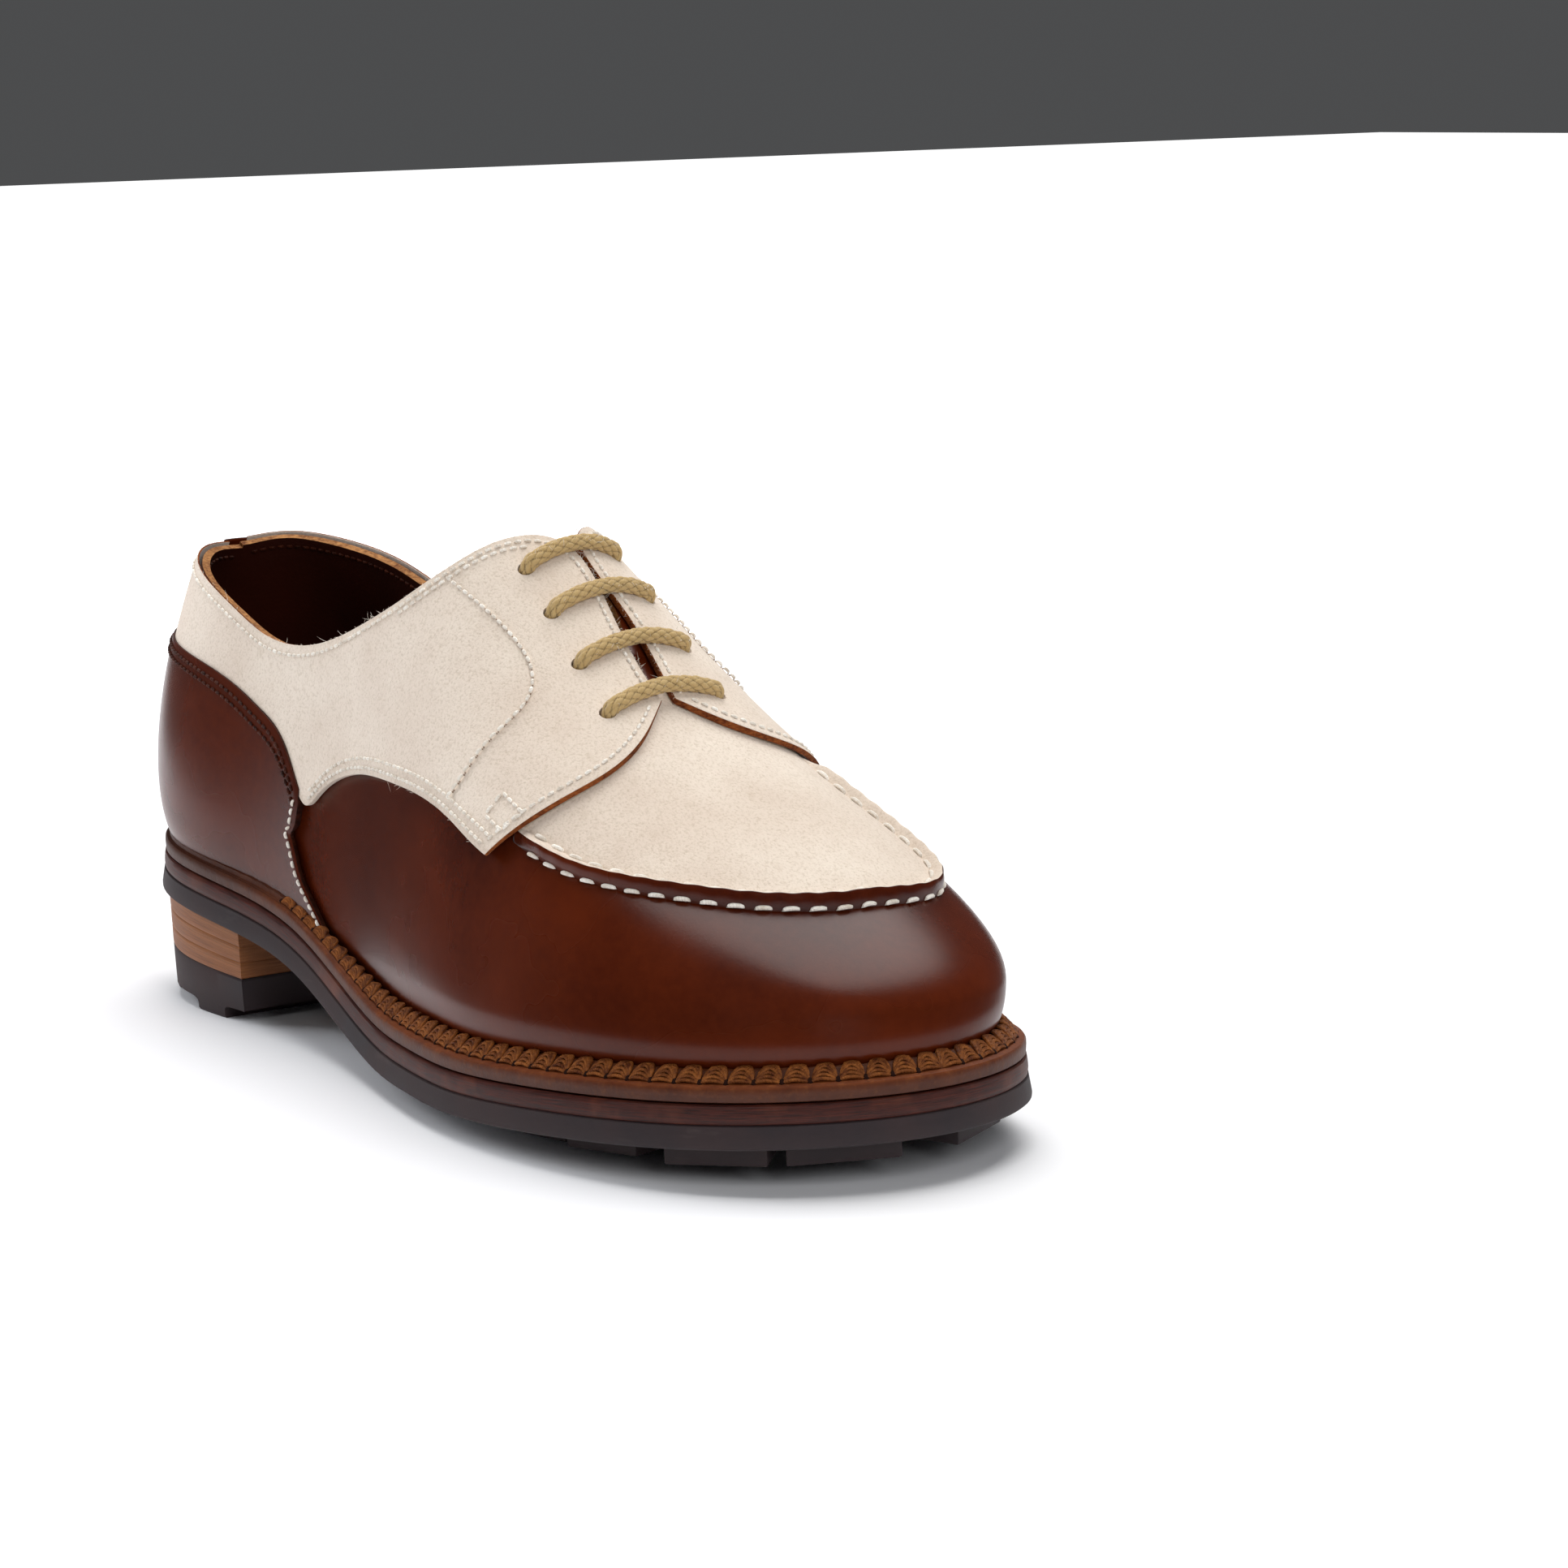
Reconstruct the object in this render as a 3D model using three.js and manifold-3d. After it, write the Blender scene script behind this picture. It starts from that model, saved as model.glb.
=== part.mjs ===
// Derby shoe with a raised apron, right foot, standing empty on its sole.
// Millimetres. +X runs from heel to toe, +Y to the medial side, +Z up.
import * as THREE from 'three';
import { mergeVertices } from 'three/addons/utils/BufferGeometryUtils.js';
import Module from 'manifold-3d';

const wasm = await Module();
wasm.setup();

// Last: the form that the upper is pulled over
const LAST_LENGTH = 285;
const BALL_WIDTH = 91;
const SIDE_BULGE = 6;
const BULGE_HEIGHT = 30;
const INSTEP_HEIGHT = 124;
const TOE_HEIGHT = 66;
const INSTEP_SWING = 7;

// Bottom: welt, midsole, rubber outsole and heel
const WELT_MARGIN = 8;
const WELT_THICK = 3.5;
const WELT_BEAD = 1.8;
const MIDSOLE_THICK = 4;
const OUTSOLE_THICK = 5;
const EDGE_FLARE = 0.8;
const LUG_HEIGHT = 5;
const LUG_WIDTH = 15;
const LUG_INSET = 3;
const FLAT_BAND = 0.3;
const TOE_SPRING = 5.5;
const HEEL_HEIGHT = 29.8;
const HEEL_LENGTH = 68;
const HEEL_INSET = 0.3;
const HEEL_TAPER = 0.7;
const TOP_LIFT_BACK = 14.5;
const TOP_LIFT_BREAST = 11.3;
const NOTCH_HEIGHT = 3.2;
const LIFTS = 3;

// Upper and what is sewn on it
const UPPER_WALL = 2;
const PANEL_THICK = 1.3;
const COUNTER_THICK = 1.7;
const SEAM_THICK = 2.4;
const TONGUE_THICK = 2.2;
const INSOLE_THICK = 3;
const EYELET_RADIUS = 2.2;
const LACE_DIAMETER = 4.2;

// Clearance between pieces that touch
const GAP = 0.45;

// Half sections from heel (row 1) to toe (row 9). x is a share of LAST_LENGTH, y of BALL_WIDTH.
// spine: where the section plane meets the ridge. bulge, rise: shares of SIDE_BULGE and BULGE_HEIGHT.
// shoulder, crown: fullness of the upper part. welt: share of WELT_MARGIN.
const SECTIONS = {
  spine: [0.102, 0.109, 0.235, 0.372, 0.517, 0.663, 0.786, 0.846, 0.860],
  bulge: [0.45, 0.48, 0.25, 0.15, 0.50, 0.75, 0.78, 0.66, 0.60],
  rise: [0.56, 0.56, 0.62, 0.70, 0.63, 0.53, 0.47, 0.43, 0.43],
  shoulder: [0.40, 0.43, 0.62, 0.68, 0.60, 0.60, 0.62, 0.62, 0.62],
  crown: [0.02, 0.10, 0.28, 0.35, 0.50, 0.55, 0.62, 0.66, 0.66],
  lateral: {
    x: [0, 0.084, 0.232, 0.372, 0.519, 0.677, 0.828, 0.947, 1.000],
    y: [0, -0.297, -0.319, -0.330, -0.407, -0.495, -0.462, -0.286, 0.077],
    welt: [0.50, 0.50, 0.56, 0.62, 0.88, 1.00, 1.00, 1.00, 1.00],
  },
  medial: {
    x: [0, 0.084, 0.232, 0.372, 0.512, 0.663, 0.811, 0.944, 1.000],
    y: [0, 0.275, 0.280, 0.297, 0.396, 0.505, 0.516, 0.407, 0.077],
    welt: [0.50, 0.50, 0.56, 0.56, 0.75, 1.00, 1.00, 1.00, 1.00],
  },
};

// Underside of the rubber: x as a share of LAST_LENGTH, height as shares of heel height and toe spring
const SOLE_LINE = {
  x: [-0.03, 0.10, 0.225, 0.312, 0.382, 0.456, 0.520, 0.590, 0.660, 0.758, 0.835, 0.905, 0.968, 1.032],
  heel: [1.010, 0.885, 0.735, 0.545, 0.300, 0.095, 0.004, 0, 0, 0, 0, 0, 0, 0],
  spring: [0, 0, 0, 0, 0, 0, 0, 0, 0.035, 0.29, 0.52, 0.72, 0.88, 1.00],
};

// Rows of lugs under the forepart. inset: share of LUG_INSET. middle: whether a lug fills the middle.
const LUGS = {
  from: [0.470, 0.530, 0.590, 0.650, 0.710, 0.808, 0.896],
  to: [0.518, 0.578, 0.638, 0.698, 0.775, 0.884, 0.976],
  inset: [4.5, 4.5, 4.5, 4.2, 3.2, 1.8, 1.8],
  middle: [1, 1, 1, 1, 1, 1, 1],
};

// Notches across the tread of the top lift, as shares of HEEL_LENGTH
const NOTCHES = { from: [0.28, 0.86], to: [0.66, 1.01] };

// Ridge of the last: height between toe height (0) and instep height (1), swing to the medial side
const RIDGE = {
  x: [0.102, 0.290, 0.430, 0.502, 0.572, 0.635, 0.698, 0.765, 0.818, 0.860],
  rise: [1.435, 1.470, 1.388, 1.165, 0.904, 0.652, 0.426, 0.226, 0.096, 0],
  swing: [0, 0.15, 0.50, 0.70, 0.80, 0.65, 0.25, 0.40, 0.80, 1.00],
};

// Edges of the panels. run: along the edge. along: 0 heel, 1 toe. up: 0 feather, 1 widest point, 2 ridge.
const COLLAR_EDGE = {
  run: [0, 0.10, 0.20, 0.28, 0.36, 0.44, 0.52, 0.60, 0.66, 0.71, 0.77, 0.86, 1.00],
  along: [0, 0.105, 0.211, 0.268, 0.328, 0.390, 0.443, 0.479, 0.498, 0.512, 0.530, 0.580, 0.658],
  lateral: [1.448, 1.448, 1.331, 1.262, 1.253, 1.311, 1.423, 1.570, 1.705, 1.850, 1.974, 1.980, 1.980],
  medial: [1.448, 1.474, 1.385, 1.315, 1.300, 1.350, 1.455, 1.595, 1.720, 1.855, 1.974, 1.980, 1.980],
};
const QUARTER_FOOT = {
  run: [0, 0.10, 0.20, 0.28, 0.36, 0.41, 0.46, 0.55, 0.66, 0.78, 0.88, 1.00],
  along: [0, 0.110, 0.214, 0.265, 0.307, 0.333, 0.360, 0.427, 0.505, 0.574, 0.610, 0.643],
  up: [1.290, 1.272, 1.195, 1.142, 1.090, 1.040, 1.065, 1.145, 1.227, 1.287, 1.302, 1.307],
};
const QUARTER_FRONT = {
  up: [1.307, 1.443, 1.570, 1.734, 1.898, 1.980],
  along: [0.643, 0.663, 0.678, 0.688, 0.675, 0.658],
};
const WAIST_SEAM = {
  up: [0, 0.25, 0.45, 0.66, 0.86, 1.00, 1.04],
  along: [0.372, 0.352, 0.334, 0.324, 0.318, 0.321, 0.330],
};
const APRON_EDGE = {
  along: [0.660, 0.719, 0.765, 0.809, 0.860, 0.917, 0.965, 1.000],
  lateral: [1.430, 1.459, 1.515, 1.585, 1.660, 1.728, 1.758, 1.768],
  medial: [1.600, 1.580, 1.555, 1.540, 1.585, 1.690, 1.750, 1.768],
};
const SEAM_WIDTH = 0.05;
const RIDGE_BAND = 1.96;
const STRIP_ALONG = 0.026;
const EYELETS = { along: [0.534, 0.568, 0.608, 0.650], up: 1.82 };
const TONGUE = { from: 0.515, to: 0.685, up: 1.72 };
const THROAT = 0.60;
const SLIT_BACK = 0.02;

// Natural cubic curve through rows, straight beyond its ends
function curve(xs, ys) {
  const n = xs.length;
  const second = new Array(n).fill(0);
  const work = new Array(n).fill(0);
  for (let i = 1; i < n - 1; i++) {
    const before = xs[i] - xs[i - 1];
    const after = xs[i + 1] - xs[i];
    const pivot = 2 * (before + after) - before * work[i - 1];
    work[i] = after / pivot;
    const bend = 6 * ((ys[i + 1] - ys[i]) / after - (ys[i] - ys[i - 1]) / before);
    second[i] = (bend - before * second[i - 1]) / pivot;
  }
  for (let i = n - 2; i > 0; i--) second[i] -= work[i] * second[i + 1];
  const slope = (i, end) => {
    const h = xs[i + 1] - xs[i];
    const chord = (ys[i + 1] - ys[i]) / h;
    return end ? chord + h * (second[i] + 2 * second[i + 1]) / 6 : chord - h * (2 * second[i] + second[i + 1]) / 6;
  };
  return (x) => {
    if (x <= xs[0]) return ys[0] + (x - xs[0]) * slope(0, false);
    if (x >= xs[n - 1]) return ys[n - 1] + (x - xs[n - 1]) * slope(n - 2, true);
    let i = 0;
    while (x > xs[i + 1]) i++;
    const h = xs[i + 1] - xs[i];
    const p = (xs[i + 1] - x) / h;
    const q = 1 - p;
    return p * ys[i] + q * ys[i + 1] + ((p ** 3 - p) * second[i] + (q ** 3 - q) * second[i + 1]) * h * h / 6;
  };
}

// Smooth closed curve through rows, once round the shoe: heel, lateral side, toe, medial side
function loop(rows) {
  const n = rows.length;
  let controls = [...rows];
  for (let pass = 0; pass < 40; pass++) {
    controls = rows.map((row, i) => (6 * row - controls[(i + n - 1) % n] - controls[(i + 1) % n]) / 4);
  }
  return (u) => {
    const around = ((u % n) + n) % n;
    const i = Math.floor(around);
    const t = around - i;
    const weights = [(1 - t) ** 3, 3 * t ** 3 - 6 * t ** 2 + 4, -3 * t ** 3 + 3 * t ** 2 + 3 * t + 1, t ** 3];
    return weights.reduce((sum, w, k) => sum + w * controls[(i + k - 1 + n) % n] / 6, 0);
  };
}

const lerp = THREE.MathUtils.lerp;
const LATERAL = -1;
const MEDIAL = 1;
const LAST_ROW = SECTIONS.spine.length - 1;

const bothSides = (lateral, medial = lateral) => loop([...lateral, ...medial.slice(1, -1).reverse()]);
const scaled = (values, size) => values.map((value) => value * size);
const footX = bothSides(scaled(SECTIONS.lateral.x, LAST_LENGTH), scaled(SECTIONS.medial.x, LAST_LENGTH));
const footY = bothSides(scaled(SECTIONS.lateral.y, BALL_WIDTH), scaled(SECTIONS.medial.y, BALL_WIDTH));
const weltShare = bothSides(SECTIONS.lateral.welt, SECTIONS.medial.welt);
const spineX = bothSides(scaled(SECTIONS.spine, LAST_LENGTH));
const bulgeOut = bothSides(scaled(SECTIONS.bulge, SIDE_BULGE));
const bulgeRise = bothSides(scaled(SECTIONS.rise, BULGE_HEIGHT));
const shoulder = bothSides(SECTIONS.shoulder);
const crown = bothSides(SECTIONS.crown);
const around = (side, along) => (side === LATERAL ? along : 2 - along) * LAST_ROW;

const heelLine = curve(scaled(SOLE_LINE.x, LAST_LENGTH), SOLE_LINE.heel);
const springLine = curve(scaled(SOLE_LINE.x, LAST_LENGTH), SOLE_LINE.spring);
const rubberBottom = (x) => LUG_HEIGHT + (HEEL_HEIGHT - LUG_HEIGHT) * heelLine(x) + TOE_SPRING * springLine(x);
const rubberTop = (x) => rubberBottom(x) + OUTSOLE_THICK;
const midsoleBottom = (x) => rubberTop(x) + GAP;
const midsoleTop = (x) => midsoleBottom(x) + MIDSOLE_THICK;
const weltBottom = (x) => midsoleTop(x) + GAP;
const weltTop = (x) => weltBottom(x) + WELT_THICK;
const ridgeRise = curve(scaled(RIDGE.x, LAST_LENGTH), RIDGE.rise);
const ridgeSwing = curve(scaled(RIDGE.x, LAST_LENGTH), scaled(RIDGE.swing, INSTEP_SWING));
const ridgeZ = (x) => TOE_HEIGHT + (INSTEP_HEIGHT - TOE_HEIGHT) * ridgeRise(x);

// Point of the last at a place along and up one side
function lastPoint(side, along, up) {
  if (up > 2) return lastPoint(-side, along, 4 - up);
  if (along < 0) return lastPoint(-side, -along, up);
  if (along > 1) return lastPoint(-side, 2 - along, up);
  const u = around(side, along);
  const foot = new THREE.Vector2(footX(u), footY(u));
  const spine = new THREE.Vector2(spineX(u), ridgeSwing(spineX(u)));
  const reach = foot.distanceTo(spine);
  const out = foot.clone().sub(spine).normalize();
  const base = weltTop(foot.x);
  const rise = bulgeRise(u);
  const widest = reach + bulgeOut(u);
  if (up <= 1) {
    const distance = (1 - up) ** 2 * reach + (1 - (1 - up) ** 2) * widest;
    const height = 0.7 * up * (1 - up) * rise + up ** 2 * rise;
    return new THREE.Vector3(spine.x + out.x * distance, spine.y + out.y * distance, base + height);
  }
  const v = up - 1;
  const narrow = (1 - v) ** 3 + 3 * (1 - v) ** 2 * v + 3 * (1 - v) * v ** 2 * crown(u);
  const share = 3 * (1 - v) ** 2 * v * shoulder(u) + 3 * (1 - v) * v ** 2 + v ** 3;
  const x = spine.x + out.x * widest * narrow;
  const y = spine.y + out.y * widest * narrow;
  return new THREE.Vector3(x, y, lerp(base + rise, ridgeZ(x), share));
}

// Normal of the last; on the ridge the mean of both sides, so that they meet
function lastNormal(side, along, up) {
  if (up > RIDGE_BAND && up < 4 - RIDGE_BAND) {
    const share = (up - RIDGE_BAND) / (4 - 2 * RIDGE_BAND);
    const near = lastNormal(side, along, RIDGE_BAND);
    return near.lerp(lastNormal(side, along, 4 - RIDGE_BAND), share).normalize();
  }
  const step = 0.01;
  const forward = lastPoint(side, along + step, up).sub(lastPoint(side, along - step, up));
  const upward = lastPoint(side, along, up + step).sub(lastPoint(side, along, Math.max(up - step, 0)));
  return forward.cross(upward).multiplyScalar(side === LATERAL ? 1 : -1).normalize();
}

// The same point moved out along the normal of the surface
const skin = (side, along, up, offset = 0) => {
  const point = lastPoint(side, along, up);
  return offset === 0 ? point : point.addScaledVector(lastNormal(side, along, up), offset);
};

// Plan outline of the feather line grown outwards
function outline(side, along, grow) {
  const u = around(side, along);
  const step = 0.01;
  const tangent = new THREE.Vector2(footX(u + step) - footX(u - step), footY(u + step) - footY(u - step));
  tangent.normalize();
  return new THREE.Vector2(footX(u) + tangent.y * grow, footY(u) - tangent.x * grow);
}
const weltOut = (side, along) => weltShare(around(side, along)) * WELT_MARGIN;

// Triangles from a grid of points, two to each cell
function sheet(rows) {
  const triangles = [];
  for (let i = 0; i + 1 < rows.length; i++) {
    for (let j = 0; j + 1 < rows[i].length; j++) {
      triangles.push([rows[i][j], rows[i + 1][j], rows[i + 1][j + 1]]);
      triangles.push([rows[i][j], rows[i + 1][j + 1], rows[i][j + 1]]);
    }
  }
  return triangles;
}

const turned = (triangles) => triangles.map(([a, b, c]) => [a, c, b]);
const mirrored = (side, triangles) => (side === LATERAL ? triangles : turned(triangles));

// One closed geometry: coincident corners merged, empty triangles dropped, faces out
function body(triangles) {
  const loose = new THREE.BufferGeometry().setFromPoints(triangles.flat());
  const merged = mergeVertices(loose, 1e-3);
  const index = [];
  for (let i = 0; i < merged.index.count; i += 3) {
    const [a, b, c] = [0, 1, 2].map((k) => merged.index.getX(i + k));
    if (a !== b && b !== c && c !== a) index.push([a, b, c]);
  }
  const corner = (k) => new THREE.Vector3().fromBufferAttribute(merged.attributes.position, k);
  const volume = index.reduce((sum, [a, b, c]) => sum + corner(a).dot(corner(b).cross(corner(c))), 0);
  merged.setIndex(index.flatMap(([a, b, c]) => (volume < 0 ? [a, c, b] : [a, b, c])));
  return merged;
}

// Closed slab between two grids of the same size
function slab(lower, upper) {
  const edge = (rows) => [
    ...rows[0],
    ...rows.slice(1).map((row) => row.at(-1)),
    ...rows.at(-1).slice(0, -1).reverse(),
    ...rows.slice(0, -1).reverse().map((row) => row[0]),
  ];
  return body([...sheet(upper), ...turned(sheet(lower)), ...sheet([edge(lower), edge(upper)])]);
}

const solid = (geometry) => {
  const bare = new THREE.BufferGeometry();
  bare.setAttribute('position', geometry.attributes.position);
  bare.setIndex(geometry.index);
  const joined = mergeVertices(bare, 1e-4);
  return new wasm.Manifold(new wasm.Mesh({
    numProp: 3,
    vertProperties: new Float32Array(joined.attributes.position.array),
    triVerts: new Uint32Array(joined.index.array),
  }));
};
const geometryOf = (manifold) => {
  const mesh = manifold.getMesh();
  const geometry = new THREE.BufferGeometry();
  geometry.setAttribute('position', new THREE.BufferAttribute(mesh.vertProperties, 3));
  geometry.setIndex(new THREE.BufferAttribute(mesh.triVerts, 1));
  return geometry;
};

const steps = (count) => Array.from({ length: count + 1 }, (_, i) => i / count);
const eased = (count) => steps(count).map((s) => (1 - Math.cos(Math.PI * s)) / 2);

// Flat layer of the bottom: rows run across from the lateral to the medial edge
function layer({ from = 0, to = 1, rows = 30, across = 3, growTop, growBottom = growTop, top, bottom, stop }) {
  const grid = (grow, height) => eased(rows).map((s) => {
    const along = lerp(from, to, s);
    const [start, end] = [LATERAL, MEDIAL].map((side) => {
      const point = outline(side, along, grow(side, along));
      if (stop !== undefined && s === 1) point.x = stop;
      return point;
    });
    return steps(across).map((r) => {
      const point = start.clone().lerp(end, r);
      return new THREE.Vector3(point.x, point.y, height(point.x));
    });
  });
  return slab(grid(growBottom, bottom), grid(growTop, top));
}

// Along-share at which the sole's edge passes a given x
function alongAt(x) {
  let low = 0;
  let high = 0.5;
  for (let pass = 0; pass < 30; pass++) {
    const middle = (low + high) / 2;
    if (outline(LATERAL, middle, weltOut(LATERAL, middle)).x < x) low = middle;
    else high = middle;
  }
  return low;
}

function outsole() {
  const plate = layer({
    growTop: (side, along) => weltOut(side, along) + EDGE_FLARE / 2,
    growBottom: (side, along) => weltOut(side, along) + 1.5 * EDGE_FLARE,
    top: rubberTop,
    bottom: rubberBottom,
    rows: 28,
  });
  let whole = solid(plate);
  const foot = (point) => {
    const bottom = rubberBottom(point.x) - LUG_HEIGHT;
    return bottom < FLAT_BAND ? 0 : bottom;
  };
  const prism = (corners) => {
    const ring = (height) => corners.map((point) => new THREE.Vector3(point.x, point.y, height(point)));
    const low = ring(foot);
    const high = ring((point) => rubberBottom(point.x) + OUTSOLE_THICK / 3);
    const grid = ([a, b, c, d]) => [[a, b], [d, c]];
    return solid(slab(grid(low), grid(high)));
  };
  const rim = (side, along, inset) => outline(side, along, weltOut(side, along) - inset);
  LUGS.from.forEach((start, row) => {
    const end = LUGS.to[row];
    const inset = LUGS.inset[row] * LUG_INSET;
    for (const side of [LATERAL, MEDIAL]) {
      const inner = inset + LUG_WIDTH;
      const place = [[start, inset], [end, inset], [end, inner], [start, inner]];
      whole = whole.add(prism(place.map(([along, inward]) => rim(side, along, inward))));
    }
    if (LUGS.middle[row]) {
      const clear = inset + LUG_WIDTH + 1.5 * LUG_INSET;
      const corners = [[LATERAL, start], [LATERAL, end], [MEDIAL, end], [MEDIAL, start]];
      whole = whole.add(prism(corners.map(([side, along]) => rim(side, along, clear))));
    }
  });
  return geometryOf(whole);
}

// Heel: leather lifts between the rubber and a wedge of rubber with notched tread
const heelX = (share) => HEEL_LENGTH * share - LAST_LENGTH * 0.02;
const liftTop = (x) => rubberBottom(x) - GAP;
const topLiftTop = (x) => lerp(TOP_LIFT_BACK, TOP_LIFT_BREAST, (x - heelX(0)) / HEEL_LENGTH);
function heelLayer(low, high, lowShare, highShare) {
  const inset = (share) => (side, along) => weltOut(side, along) - HEEL_INSET - HEEL_TAPER * (1 - share);
  return layer({
    to: alongAt(heelX(1)),
    rows: 9,
    across: 2,
    stop: heelX(1),
    growTop: inset(highShare),
    growBottom: inset(lowShare),
    top: high,
    bottom: low,
  });
}
const liftHeight = (level) => (x) => lerp(topLiftTop(x) + GAP, liftTop(x) + GAP, level / LIFTS);
const liftShare = (level) => lerp(TOP_LIFT_BACK / HEEL_HEIGHT, 1, level / LIFTS);
function heelLift(level) {
  const high = liftHeight(level + 1);
  return heelLayer(liftHeight(level), (x) => high(x) - GAP, liftShare(level), liftShare(level + 1));
}
function topLift() {
  let wedge = solid(heelLayer(() => 0, topLiftTop, 0, liftShare(0)));
  NOTCHES.from.forEach((start, i) => {
    const long = (NOTCHES.to[i] - start) * HEEL_LENGTH;
    const box = new THREE.BoxGeometry(long, BALL_WIDTH, 2 * NOTCH_HEIGHT);
    box.translate(heelX(start) + long / 2, 0, 0);
    box.deleteAttribute('normal').deleteAttribute('uv');
    wedge = wedge.subtract(solid(box));
  });
  return geometryOf(wedge);
}

// Welt: one strip right round, with a bead that rises against the upper
function welt() {
  const stations = 58;
  const rings = [];
  for (let k = 0; k <= stations; k++) {
    const turn = (k % stations) / stations * 2;
    const side = turn <= 1 ? LATERAL : MEDIAL;
    const along = turn <= 1 ? turn : 2 - turn;
    const wide = weltOut(side, along);
    const at = (grow, height) => {
      const point = outline(side, along, grow);
      return new THREE.Vector3(point.x, point.y, height(point.x));
    };
    const crest = 3.0 / WELT_MARGIN * wide + 0.6;
    const corners = [
      at(GAP, weltBottom),
      at(wide, weltBottom),
      at(wide, weltTop),
      at(lerp(crest, wide, 0.45), weltTop),
      at(crest, (x) => weltTop(x) + WELT_BEAD * wide / WELT_MARGIN),
      at(GAP, (x) => weltTop(x) - 0.5),
    ];
    rings.push([...corners, corners[0]]);
  }
  return body(sheet(rings));
}

function midsole() {
  const grow = (side, along) => weltOut(side, along) + EDGE_FLARE / 4;
  return layer({ growTop: grow, top: midsoleTop, bottom: midsoleBottom, rows: 22 });
}

function insole() {
  const grow = () => -UPPER_WALL - 2 * GAP;
  const top = (x) => weltBottom(x) + INSOLE_THICK;
  return layer({ growTop: grow, top, bottom: weltBottom, rows: 20 });
}

const edgeAlong = (edge) => curve(edge.run, edge.along);
const collarAlong = edgeAlong(COLLAR_EDGE);
const collarUps = [COLLAR_EDGE.lateral, COLLAR_EDGE.medial].map((ups) => curve(COLLAR_EDGE.run, ups));
const collarUp = (side, run) => collarUps[side === LATERAL ? 0 : 1](run);
const footAlong = edgeAlong(QUARTER_FOOT);
const footUp = curve(QUARTER_FOOT.run, QUARTER_FOOT.up);
const frontAlong = curve(QUARTER_FRONT.up, QUARTER_FRONT.along);
const seamAlong = curve(WAIST_SEAM.up, WAIST_SEAM.along);
const apronEdges = { [LATERAL]: APRON_EDGE.lateral, [MEDIAL]: APRON_EDGE.medial };
const apronCurves = [LATERAL, MEDIAL].map((side) => curve(APRON_EDGE.along, apronEdges[side]));
const apronUp = (side, along) => apronCurves[side === LATERAL ? 0 : 1](along);

// Height of the upper's own top edge: collar, both sides of the slit, then closed over the toe
function topEdge(side, run) {
  const closing = THREE.MathUtils.smoothstep(collarAlong(run), THROAT - 0.03, THROAT);
  return lerp(collarUp(side, run) - SLIT_BACK / 2, 2, closing);
}

// The upper: one hollow wall, open at the collar, down the slit and underneath
function upper() {
  const backRuns = 24;
  const frontRuns = 12;
  const levels = 10;
  const throatRun = 0.905;
  const start = collarAlong(throatRun);
  const columns = (side) => [
    ...steps(backRuns).map((s) => ({ along: collarAlong(s * throatRun), top: s < 1 ? topEdge(side, s * throatRun) : 2 })),
    ...steps(frontRuns).slice(1).map((s) => ({ along: lerp(start, 1, s), top: 2 })),
  ];
  const skirt = (side, along, grow) => {
    const point = outline(side, along, grow);
    return new THREE.Vector3(point.x, point.y, weltBottom(point.x));
  };
  const wall = (side, offset) => columns(side).map(({ along, top }) => [
    skirt(side, along, offset),
    ...steps(levels).map((s) => skin(side, along, s * top, offset)),
  ]);
  const triangles = [];
  for (const side of [LATERAL, MEDIAL]) {
    const outer = wall(side, 0);
    const inner = wall(side, -UPPER_WALL);
    const foot = (rows) => rows.map((row) => row[0]);
    const rim = (rows) => rows.slice(0, backRuns + 1).map((row) => row.at(-1));
    triangles.push(...mirrored(side, [
      ...sheet(outer),
      ...turned(sheet(inner)),
      ...sheet([foot(outer), foot(inner)]),
      ...sheet([rim(inner), rim(outer)]),
    ]));
  }
  return geometryOf(cutEyelets(body(triangles)));
}

// Holes for the lace through every layer of both facings
function cutEyelets(geometry) {
  let whole = solid(geometry);
  for (const side of [LATERAL, MEDIAL]) {
    for (const along of EYELETS.along) {
      const inside = skin(side, along, EYELETS.up, -3 * UPPER_WALL);
      const outside = skin(side, along, EYELETS.up, 3 * UPPER_WALL);
      const punch = new THREE.CylinderGeometry(EYELET_RADIUS, EYELET_RADIUS, inside.distanceTo(outside), 8);
      const turn = new THREE.Quaternion();
      turn.setFromUnitVectors(new THREE.Vector3(0, 1, 0), outside.clone().sub(inside).normalize());
      punch.deleteAttribute('normal').deleteAttribute('uv');
      punch.applyQuaternion(turn);
      const centre = inside.lerp(outside, 0.5);
      punch.translate(centre.x, centre.y, centre.z);
      whole = whole.subtract(solid(punch));
    }
  }
  return whole;
}

// Overlay cut between two offsets of the last; place gives along and up for a grid cell
function panel(side, columns, levels, thick, place, lift = 1.1 * GAP) {
  const grid = (offset) => steps(columns).map((s) => steps(levels).map((r) => {
    const [along, up] = place(s, r);
    return skin(side, along, up, offset);
  }));
  return slab(grid(lift), grid(lift + thick));
}

// Quarter: from the back strip to the facing, over the vamp
function quarter(side) {
  const firstRun = 0.026;
  const tail = COLLAR_EDGE.along.at(-1);
  const geometry = panel(side, 29, 7, PANEL_THICK, (s, r) => {
    const run = lerp(firstRun, 1, s);
    const end = lerp(QUARTER_FRONT.up[0], QUARTER_FRONT.up.at(-1), r);
    const straight = lerp(QUARTER_FRONT.along[0], tail, r);
    const bow = (frontAlong(end) - straight) * s ** 6;
    const along = lerp(footAlong(run), collarAlong(run), r) + bow;
    return [along, lerp(footUp(run), collarUp(side, run), r)];
  });
  return geometryOf(cutEyelets(geometry));
}

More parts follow.
